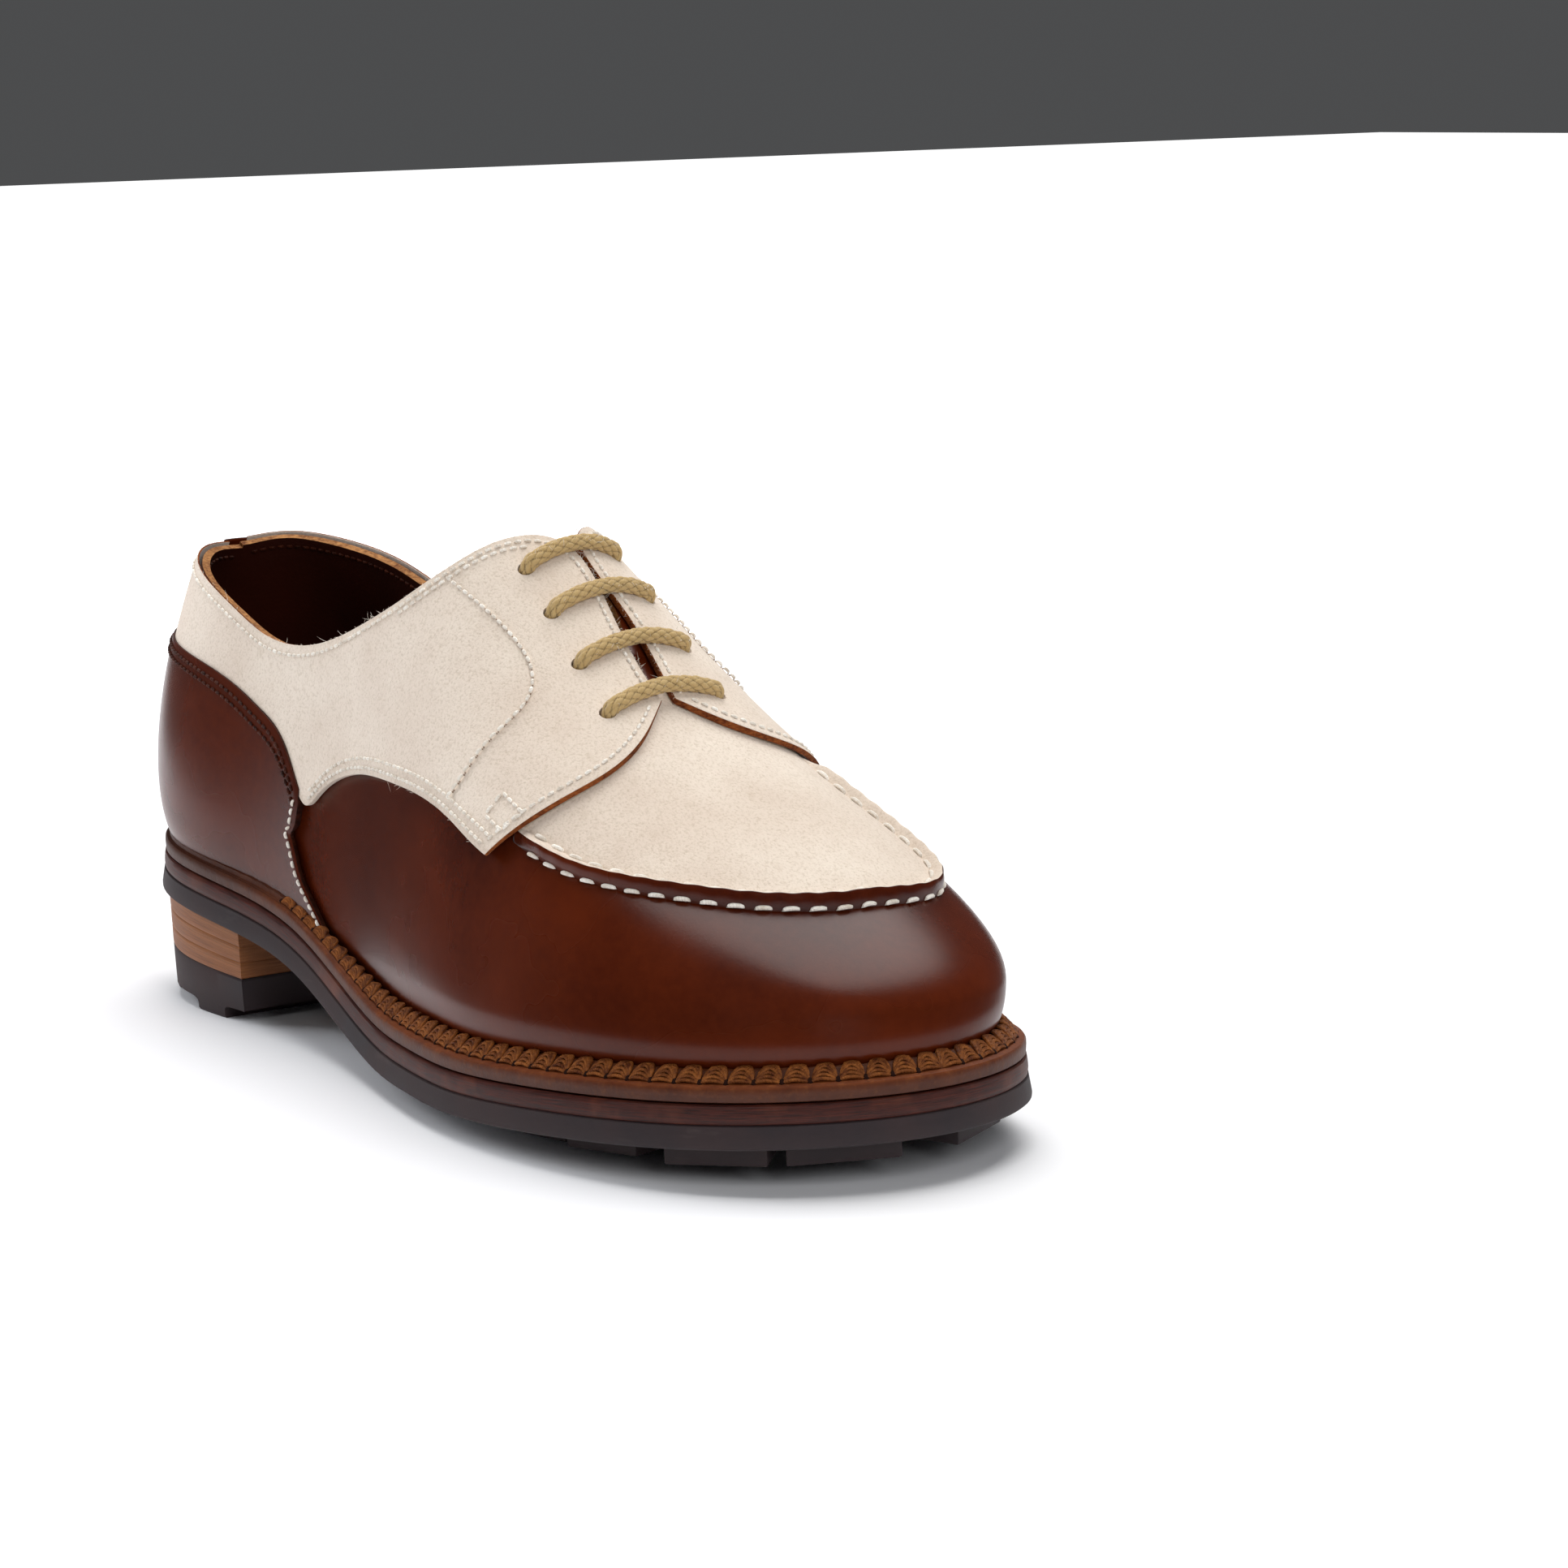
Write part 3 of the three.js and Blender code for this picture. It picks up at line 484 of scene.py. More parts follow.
def layer_form(rings, across=6, low=None, high=None, finish=0):
    """Closed layer from rings round its outline, lowest first, with a cap across each end."""
    form = Form()
    rings = np.asarray(rings)
    count = (rings.shape[1] - 1) // 2
    edge = rings.transpose(1, 0, 2)
    lengths = np.linalg.norm(np.roll(edge[:, 0], -1, axis=0) - edge[:, 0], axis=-1)
    run = np.concatenate([[0], np.cumsum(lengths)[:-1]])
    rise = np.concatenate([[0], np.cumsum(np.linalg.norm(np.diff(rings[:, 0], axis=0), axis=-1))])
    place = np.stack(np.meshgrid(run, rise, indexing="ij"), -1) * MM
    share = np.broadcast_to(rise / max(rise[-1], 1e-6), place.shape[:2])
    form.grid(edge, wrap=True, place=place, shade=share, finish=finish)
    back = -np.arange(count + 1) % (2 * count + 1)
    for ring, height, flip in ((rings[0], low, True), (rings[-1], high, False)):
        near, far = ring[:count + 1], ring[back]
        cap = near[:, None] + (far - near)[:, None] * steps(across)[None, :, None]
        if height is not None:
            cap[:, 1:-1, 2] = height(cap[:, 1:-1, 0])
        form.grid(cap, flip=flip, place=cap[..., :2] * MM, shade=0.5, finish=finish)
    return form


def strands(name, paths, radius, material, sides=6, flat=1.0, normals=None):
    """Many short tubes with tapered ends; paths is (number, points, 3)."""
    paths = np.asarray(paths, float)
    number, count = paths.shape[:2]
    tangent = unit(np.gradient(paths, axis=1))
    if normals is None:
        normals = np.broadcast_to([0.0, 0.0, 1.0], paths.shape)
    cross = unit(np.cross(tangent, normals))
    lift = np.cross(cross, tangent)
    taper = np.sqrt(np.clip(1 - np.abs(np.linspace(-1, 1, count)) ** 4, 0.05, 1))
    taper = taper[None, :, None, None] * np.broadcast_to(radius, (number,))[:, None, None, None]
    angle = np.arange(sides) * 2 * np.pi / sides
    ring = cross[:, :, None] * np.cos(angle)[None, None, :, None]
    ring = ring + lift[:, :, None] * np.sin(angle)[None, None, :, None] * flat
    points = paths[:, :, None] + ring * taper
    tips = points.mean(2, keepdims=True)
    points[:, 0] = tips[:, 0]
    points[:, -1] = tips[:, -1]
    closed = np.concatenate([points, points[:, :, :1]], 2)
    form = Form()
    length = np.linalg.norm(np.diff(paths, axis=1), axis=-1).sum(1)
    for i in range(number):
        place = np.stack(np.meshgrid(steps(count - 1) * length[i], steps(sides), indexing="ij"), -1) * MM
        form.grid(closed[i], flip=True, place=place, shade=(i * 0.618) % 1)
    return form.make(name, [material])


def resample(line, pitch):
    """Points a pitch apart along a line, and its length."""
    gaps = np.linalg.norm(np.diff(line, axis=0), axis=-1)
    run = np.concatenate([[0], np.cumsum(gaps)])
    count = max(int(run[-1] / pitch), 1)
    return run, (np.arange(count) + 0.5) * run[-1] / count


def stitch_paths(line, normals, pitch, share, sink=0.25, lean=0.0):
    """Short arcs of thread along a line on the surface, each rising between its two holes."""
    run, centres = resample(line, pitch)
    half = run[-1] / len(centres) * share / 2
    bend = np.linspace(-1, 1, 7)
    where = centres[:, None] + half * bend[None]
    points = np.stack([np.interp(where, run, line[:, k]) for k in range(3)], -1)
    facing = unit(np.stack([np.interp(where, run, normals[:, k]) for k in range(3)], -1))
    side = unit(np.cross(facing, np.gradient(points, axis=1)))
    rise = sink * (1 - 2 * np.abs(bend) ** 3)
    return points + facing * rise[None, :, None] + side * (lean * bend)[None, :, None], facing


# Materials


class Value:
    """A socket in an expression: using an operator on it adds the Math node."""

    def __init__(self, finish, socket):
        self.finish, self.socket = finish, socket

    def math(self, operation, a, b):
        node = self.finish.node("ShaderNodeMath", {"operation": operation}, {0: a, 1: b})
        return Value(self.finish, node.outputs[0])

    def __add__(self, other):
        return self.math("ADD", self, other)

    def __radd__(self, other):
        return self.math("ADD", other, self)

    def __sub__(self, other):
        return self.math("SUBTRACT", self, other)

    def __rsub__(self, other):
        return self.math("SUBTRACT", other, self)

    def __mul__(self, other):
        return self.math("MULTIPLY", self, other)

    def __rmul__(self, other):
        return self.math("MULTIPLY", other, self)

    def size(self):
        return self.math("ABSOLUTE", self, 0)

    def wave(self):
        return self.math("SINE", self, 0)


class Finish:
    """A material in the making."""

    def __init__(self, name):
        self.material = bpy.data.materials.new(name)
        self.material.use_nodes = True
        self.tree = self.material.node_tree
        self.shader = self.tree.nodes["Principled BSDF"]
        self.coords = self.node("ShaderNodeTexCoord")

    def node(self, kind, settings=None, sockets=None):
        """A node: its settings first, then the values or links of its sockets."""
        node = self.tree.nodes.new(kind)
        for key, value in (settings or {}).items():
            setattr(node, key, value)
        for key, value in (sockets or {}).items():
            self.feed(node.inputs[key], value)
        return node

    def feed(self, socket, value):
        if isinstance(value, Value):
            self.tree.links.new(value.socket, socket)
        elif isinstance(value, bpy.types.NodeSocket):
            self.tree.links.new(value, socket)
        elif socket.type == "RGBA" and not isinstance(value, (int, float)):
            socket.default_value = (*tuple(value)[:3], 1)
        else:
            socket.default_value = value

    def stretched(self, scale):
        node = self.node("ShaderNodeMapping", None, {"Vector": self.coords.outputs["Object"], "Scale": scale})
        return node.outputs[0]

    def noise(self, scale, detail=2.0, rough=0.5, vector=None, distortion=0.0):
        vector = self.coords.outputs["Object"] if vector is None else vector
        sockets = {"Vector": vector, "Scale": scale, "Detail": detail, "Roughness": rough, "Distortion": distortion}
        return Value(self, self.node("ShaderNodeTexNoise", None, sockets).outputs["Fac"])

    def cells(self, scale):
        sockets = {"Vector": self.coords.outputs["Object"], "Scale": scale}
        return Value(self, self.node("ShaderNodeTexVoronoi", None, sockets).outputs["Distance"])

    def attribute(self, name):
        return Value(self, self.node("ShaderNodeAttribute", {"attribute_name": name}).outputs["Fac"])

    def across(self, source):
        node = self.node("ShaderNodeSeparateXYZ", None, {0: self.coords.outputs[source]})
        return Value(self, node.outputs[0]), Value(self, node.outputs[1]), Value(self, node.outputs[2])

    def joined(self, x, y, z=0.0):
        return self.node("ShaderNodeCombineXYZ", None, {0: x, 1: y, 2: z}).outputs[0]

    def between(self, value, low, high):
        node = self.node("ShaderNodeMapRange", None, {0: value, 1: low, 2: high, 3: 0.0, 4: 1.0})
        return Value(self, node.outputs[0])

    def blend(self, share, a, b):
        return self.node("ShaderNodeMix", {"data_type": "RGBA"}, {0: share, 6: a, 7: b}).outputs[2]

    def bump(self, height, depth, strength=1.0, under=None):
        sockets = {"Height": height, "Distance": depth * MM, "Strength": strength}
        if under is not None:
            sockets["Normal"] = under
        return self.node("ShaderNodeBump", None, sockets).outputs[0]

    def leaning(self, lean):
        """The surface's own normal, with upright walls turned upwards and the rest left alone."""
        normal = self.node("ShaderNodeNewGeometry").outputs["Normal"]
        _, _, height = (Value(self, out) for out in self.node("ShaderNodeSeparateXYZ", None, {0: normal}).outputs)
        wall = self.between(height, -0.42, -0.10) * self.between(height, 0.62, 0.12) * lean
        turned = self.node("ShaderNodeVectorMath", {"operation": "ADD"}, {0: normal, 1: self.joined(0.0, 0.0, wall)})
        return self.node("ShaderNodeVectorMath", {"operation": "NORMALIZE"}, {0: turned.outputs[0]}).outputs[0]

    def done(self, **sockets):
        for key, value in sockets.items():
            self.feed(self.shader.inputs[key.replace("_", " ")], value)
        return self.material


def tint(code):
    """Linear colour from a hex code."""
    parts = [int(code[i:i + 2], 16) / 255 for i in (0, 2, 4)]
    return tuple(p / 12.92 if p <= 0.04045 else ((p + 0.055) / 1.055) ** 2.4 for p in parts)


def smooth_leather(name, dark, light, gloss, lean):
    """Chestnut leather: soft clouds of colour, fine grain, and darker where the shade value rises: painted shade
    towards the welt.

    lean turns the light on upright walls a little upwards, as on leather drawn in over a last.
    """
    f = Finish(name)
    cloud = f.noise(22, 3, 0.55)
    fine = f.noise(420, 3, 0.6)
    colour = f.blend(f.between(cloud, 0.34, 0.68), dark, light)
    colour = f.blend(f.between(fine, 0.3, 0.75) * 0.12, colour, tint("7a3310"))
    shade = f.attribute("shade")
    # Painted shade: darker where the shade value rises.
    colour = f.blend(shade * 0.75, colour, tint("1f0d07"))
    relief = f.bump(f.noise(1500, 2, 0.6), 0.03, 0.55, f.leaning(lean))
    return f.done(Base_Color=colour, Roughness=gloss + cloud * 0.08, Normal=relief, Specular_IOR_Level=0.27)


def suede_leather(name, shade_colour, light):
    """Cream suede: short nap with specks, soft blotches and a dry surface."""
    f = Finish(name)
    blotch = f.noise(30, 4, 0.6)
    nap = f.noise(1500, 3, 0.7)
    colour = f.blend(f.between(blotch, 0.30, 0.70), shade_colour, light)
    speck = f.between(nap, 0.30, 0.52)
    colour = f.blend((1 - speck) * 0.42, colour, tint("a89274"))
    # Darker where the shade value rises: painted shade on the apron beside the raised seam and under the quarters'
    # front edges, and a darker band along the quarters' foot and collar edges.
    colour = f.blend(f.attribute("shade") * 0.8, colour, tint("9a7f66"))
    dust = f.between(f.noise(260, 2, 0.5), 0.62, 0.74)
    colour = f.blend(dust * 0.16, colour, tint("b59f83"))
    relief = f.bump(nap, 0.32, 0.7)
    relief = f.bump(blotch, 0.6, 0.25, relief)
    return f.done(Base_Color=colour, Roughness=0.93, Normal=relief, Sheen_Weight=0.22, Sheen_Roughness=0.55,
                  Specular_IOR_Level=0.18)


def raw_edge(name, dark, light):
    """Cut leather edge: fibres along it with dark and pale places."""
    f = Finish(name)
    fibre = f.noise(900, 4, 0.7, f.stretched((1, 1, 2.4)))
    wide = f.noise(160, 3, 0.6)
    colour = f.blend(f.between(fibre * 0.65 + wide * 0.35, 0.36, 0.62), dark, light)
    relief = f.bump(fibre, 0.35, 0.8)
    return f.done(Base_Color=colour, Roughness=0.82, Normal=relief, Specular_IOR_Level=0.2)


def lining_leather(name, dark, light):
    f = Finish(name)
    cloud = f.noise(26, 4, 0.6)
    crease = f.noise(120, 3, 0.6, f.stretched((1, 1, 0.45)), 0.4)
    colour = f.blend(f.between(cloud, 0.32, 0.7), dark, light)
    relief = f.bump(f.cells(950), 0.12, 0.5)
    relief = f.bump(crease, 0.5, 0.3, relief)
    return f.done(Base_Color=colour, Roughness=0.46 + crease * 0.2, Normal=relief, Specular_IOR_Level=0.35)


def welt_leather(name, dark, light):
    """Waxed welt: golden brown with darker places and a few scuffs; painted shade under the stitches and in the crease
    against the upper where the shade value rises, which also darkens the outer face and the heel end.
    """
    f = Finish(name)
    cloud = f.noise(130, 4, 0.65)
    fibre = f.noise(700, 3, 0.6)
    colour = f.blend(f.between(cloud, 0.33, 0.66), dark, light)
    colour = f.blend(f.between(fibre, 0.5, 0.8) * 0.3, colour, tint("b9713a"))
    # Painted shade where the shade value rises.
    colour = f.blend(f.attribute("shade"), colour, tint("2e1208"))
    relief = f.bump(fibre, 0.16, 0.6)
    relief = f.bump(cloud, 0.3, 0.35, relief)
    return f.done(Base_Color=colour, Roughness=0.42 + fibre * 0.22, Normal=relief, Specular_IOR_Level=0.4)


def edge_leather(name, dark, light, line):
    """Burnished sole edge: long fibres that follow the edge, waxed brown with rubbed places."""
    f = Finish(name)
    run, rise, _ = f.across("UV")
    fibre = f.noise(1.0, 4, 0.65, f.joined(run * 130, rise * 2600, 0.0))
    rub = f.noise(45, 4, 0.65)
    colour = f.blend(f.between(fibre, 0.35, 0.68) * 0.8, dark, light)
    colour = f.blend(f.between(rub, 0.52, 0.72) * 0.55, colour, line)
    relief = f.bump(fibre, 0.14, 0.6)
    return f.done(Base_Color=colour, Roughness=0.40 + fibre * 0.25, Normal=relief, Specular_IOR_Level=0.3)


def stacked_leather(name, dark, light, joint):
    """Heel lift: pale leather board with long fibres and a darker line at each face."""
    f = Finish(name)
    run, rise, _ = f.across("UV")
    fibre = f.noise(1.0, 5, 0.7, f.joined(run * 70, rise * 2300, 0.0))
    knot = f.noise(1.0, 3, 0.5, f.joined(run * 30, rise * 500, 2.0))
    colour = f.blend(f.between(fibre * 0.7 + knot * 0.3, 0.36, 0.62), dark, light)
    shade = f.attribute("shade")
    brink = f.between((shade - 0.5).size(), 0.40, 0.49)
    colour = f.blend(brink * 0.75, colour, joint)
    relief = f.bump(fibre, 0.16, 0.7)
    return f.done(Base_Color=colour, Roughness=0.44 + fibre * 0.25, Normal=relief, Specular_IOR_Level=0.35)


def moulded_rubber(name, dark, light):
    """Moulded rubber: matt, slightly dusty, with faint scuffs."""
    f = Finish(name)
    cloud = f.noise(40, 4, 0.6)
    speck = f.noise(900, 2, 0.6)
    scuff = f.noise(1.0, 4, 0.7, f.stretched((35, 35, 160)))
    colour = f.blend(f.between(cloud, 0.3, 0.7), dark, light)
    colour = f.blend(f.between(scuff, 0.60, 0.75) * 0.20, colour, tint("6d605c"))
    relief = f.bump(speck, 0.06, 0.5)
    relief = f.bump(scuff, 0.08, 0.35, relief)
    return f.done(Base_Color=colour, Roughness=0.55 + cloud * 0.22, Normal=relief, Specular_IOR_Level=0.4)


def thread(name, dark, light):
    """Waxed sewing thread with a visible twist."""
    f = Finish(name)
    run, turn, _ = f.across("UV")
    twist = (run * 9000 + turn * 6283.2).wave()
    shade = f.attribute("shade")
    colour = f.blend(f.between(f.noise(600, 2, 0.6) + shade * 0.25, 0.35, 0.85), dark, light)
    relief = f.bump(twist, 0.07, 0.6)
    return f.done(Base_Color=colour, Roughness=0.62, Normal=relief, Specular_IOR_Level=0.3)


def lace_cord(name, dark, light):
    """Braided cotton cord: strands over and under, with painted shade between them."""
    f = Finish(name)
    shade = f.attribute("shade")
    fluff = f.noise(1300, 3, 0.7)
    # Painted shade: low places of the braid go dark.
    colour = f.blend(f.between(shade, 0.05, 0.62), dark, light)
    colour = f.blend(f.between(fluff, 0.35, 0.7) * 0.3, colour, tint("d9c397"))
    relief = f.bump(fluff, 0.22, 0.8)
    return f.done(Base_Color=colour, Roughness=0.86, Normal=relief, Sheen_Weight=0.2, Specular_IOR_Level=0.2)


def studio_floor(name, colour):
    """Pale floor that glows like a lit backdrop far behind the shoe."""
    f = Finish(name)
    haze = f.noise(1.2, 2, 0.5)
    tone = f.blend(haze * 0.04, colour, tint("eef1f5"))
    x, y, _ = f.across("Object")
    behind = x * -math.sin(VIEW_TURN) + y * math.cos(VIEW_TURN)
    glow = f.blend(f.between(behind, 0.35, 1.5), (0.0, 0.0, 0.0), (1.0, 1.0, 1.0))
    return f.done(Base_Color=tone, Roughness=0.7, Specular_IOR_Level=0.2, Emission_Color=glow, Emission_Strength=1.0)


# Sizes and colours that a user would change


def length(name, description, default):
    size = default * MM
    return bpy.props.FloatProperty(name=name, description=description, default=size, unit="LENGTH", precision=4)


def colour(name, description, code):
    return bpy.props.FloatVectorProperty(name=name, description=description, default=tint(code), size=3, min=0, max=1,
                                         subtype="COLOR")


class ShoeSizes(bpy.types.PropertyGroup):
    """Sizes of the sewn and cut parts."""

    quarter_thick: length("Quarter thickness", "Thickness of the suede quarters", 1.5)
    front_thick: length("Front edge step", "How much further the quarter stands off at its front edge", 1.5)
    counter_thick: length("Counter thickness", "Thickness of the counter and back strip", 2.1)
    apron_thick: length("Apron thickness", "Thickness of the suede apron", 0.9)
    edge_round: length("Edge rounding", "Rounding of cut leather edges", 0.45)
    stitch_pitch: length("Stitch pitch", "Distance from stitch to stitch in the fine rows", 2.3)
    stitch_radius: length("Fine thread radius", "Half the thickness of the fine thread", 0.42)
    apron_pitch: length("Apron stitch pitch", "Distance between stitches of the raised seam", 5.8)
    apron_radius: length("Apron thread radius", "Half the thickness of the thread of the raised seam", 0.55)
    welt_pitch: length("Welt stitch pitch", "Distance between stitches of the welt", 5.6)
    lace_diameter: length("Lace diameter", "Diameter of the braided lace", 3.9)


class ShoeColours(bpy.types.PropertyGroup):
    """Colours of the finishes."""

    chestnut_dark: colour("Chestnut, dark", "Darker tone of the smooth leather", "3c1003")
    chestnut_light: colour("Chestnut, light", "Lighter tone of the smooth leather", "561d06")
    suede_shade: colour("Suede, shade", "Darker tone of the suede", "dccbbb")
    suede_light: colour("Suede, light", "Lighter tone of the suede", "ecdfd0")
    lining: colour("Lining", "Leather inside the shoe", "3a140a")
    welt: colour("Welt", "Waxed welt", "7a3d19")
    edge: colour("Sole edge", "Burnished edge of the midsole", "56241a")
    stack: colour("Heel lifts", "Stacked leather of the heel", "96603a")
    rubber: colour("Rubber", "Outsole and top lift", "3a2c2c")
    lace: colour("Lace", "Braided cotton lace", "bd9f6b")
    thread: colour("Thread", "Pale sewing thread", "faf5ec")
    floor: colour("Floor", "Studio floor", "fbfcff")


FINISHES = {}


def finish_set():
    """All finishes, made once."""
    if FINISHES:
        return FINISHES
    c = bpy.context.scene.shoe_colours
    # Darkest tone of the painted shade in the needle holes.
    deep = tint("1d0a05")
    FINISHES.update(
        chestnut=smooth_leather("chestnut_leather", c.chestnut_dark, c.chestnut_light, 0.23, 0.14),
        vamp=smooth_leather("vamp_leather", c.chestnut_dark, c.chestnut_light, 0.23, 0.42),
        suede=suede_leather("cream_suede", c.suede_shade, c.suede_light),
        lining=lining_leather("lining_leather", tint("2c110a"), c.lining),
        tan_edge=raw_edge("raw_tan_edge", tint("5a2c12"), tint("b98450")),
        brown_edge=raw_edge("brown_edge", tint("4a1c0b"), tint("a0592a")),
        welt=welt_leather("welt_leather", tint("5e2a0e"), c.welt),
        edge=edge_leather("midsole_edge", tint("26100d"), c.edge, tint("6e3a26")),
        stack=stacked_leather("heel_stack", tint("6f4022"), c.stack, tint("dcb489")),
        rubber=moulded_rubber("sole_rubber", tint("2a2326"), c.rubber),
        lace=lace_cord("lace_cord", tint("5f4a28"), c.lace),
        pale_thread=thread("pale_thread", tint("d3c7b8"), c.thread),
        dark_thread=thread("dark_thread", tint("240c06"), tint("4a2010")),
        welt_thread=thread("welt_thread", tint("4c210b"), tint("925627")),
        # Needle holes: dark blobs at the stitch ends, painted shade inside the holes; on suede a darkened suede colour.
        pit=raw_edge("needle_hole_shade", deep, tint("2a120a")),
        suede_pit=raw_edge("suede_needle_hole_shade", tint("8a7361"), tint("a89280")),
        floor=studio_floor("studio_floor", c.floor),
    )
    return FINISHES


class ShoeOperator:
    bl_options = {"REGISTER"}

    @property
    def sizes(self):
        return bpy.context.scene.shoe_sizes

    def execute(self, context):
        self.build(finish_set())
        return {"FINISHED"}


WORLD_TONE = (0.96, 0.975, 1.0, 1)
WORLD_STRENGTH = 0.075
FLOOR_WIDTH = 14

# name, place and target in metres, width, depth, power, tone, seen in reflections
LIGHTS = (
    ("overhead", (-0.25, 0.35, 1.45), (0, 0, 0.05), 1.4, 1.4, 27.5, (1.0, 0.985, 0.965), True),
    ("left_window", (-1.3, -0.6, 0.55), (-0.02, 0, 0.06), 0.9, 0.9, 15, (0.94, 0.96, 1.0), False),
    ("front_strip", (1.5, -0.35, 0.85), (0.05, 0, 0.05), 0.5, 0.9, 10, (0.98, 0.99, 1.0), False),
    ("camera_fill", (0.9, -1.3, 1.25), (0, 0, 0.05), 0.8, 0.5, 2.0, (1.0, 0.99, 0.97), False),
)


class SHOE_OT_stage(ShoeOperator, bpy.types.Operator):
    """Pale floor, soft studio lights and the camera"""

    bl_idname = "shoe.stage"
    bl_label = "Stage"

    def build(self, finishes):
        deselect()
        bpy.ops.mesh.primitive_plane_add(size=FLOOR_WIDTH)
        floor = bpy.context.object
        floor.name = "studio_floor"
        floor.data.materials.append(finishes["floor"])
        bpy.context.scene.view_settings.view_transform = "Standard"
        world = bpy.data.worlds.new("studio")
        world.use_nodes = True
        background = world.node_tree.nodes["Background"]
        background.inputs["Color"].default_value = WORLD_TONE
        background.inputs["Strength"].default_value = WORLD_STRENGTH
        bpy.context.scene.world = world
        for row in LIGHTS:
            self.light(*row)
        self.camera()

    def light(self, name, place, target, wide, deep, power, tone, mirrored):
        bpy.ops.object.light_add(type="AREA", location=place)
        lamp = bpy.context.object
        lamp.name = name
        lamp.data.shape = "RECTANGLE"
        lamp.data.size, lamp.data.size_y = wide, deep
        lamp.data.energy, lamp.data.color = power, tone
        lamp.visible_glossy = mirrored
        lamp.rotation_euler = (Vector(target) - Vector(place)).to_track_quat("-Z", "Y").to_euler()

    def camera(self):
        turn, tilt, roll = VIEW_TURN, VIEW_TILT, VIEW_ROLL
        back = Vector((math.sin(turn) * math.cos(tilt), -math.cos(turn) * math.cos(tilt), math.sin(tilt)))
        right = Vector((math.cos(turn), math.sin(turn), 0))
        up = back.cross(right)
        level = right * math.cos(roll) + up * math.sin(roll)
        plumb = up * math.cos(roll) - right * math.sin(roll)
        target = Vector(VIEW_TARGET) - Vector(ORIGIN) + level * VIEW_SHIFT[0] + plumb * VIEW_SHIFT[1]
        bpy.ops.object.camera_add()
        camera = bpy.context.object
        camera.name = "photo_camera"
        rows = [[level[i], plumb[i], back[i], (target[i] + back[i] * VIEW_DISTANCE) * MM] for i in range(3)]
        camera.matrix_world = Matrix(rows + [[0, 0, 0, 1]])
        camera.data.sensor_width = SENSOR_WIDTH
        camera.data.lens = FOCAL_PIXELS / PHOTO_WIDTH * SENSOR_WIDTH
        camera.data.clip_start = 0.05
        bpy.context.scene.camera = camera


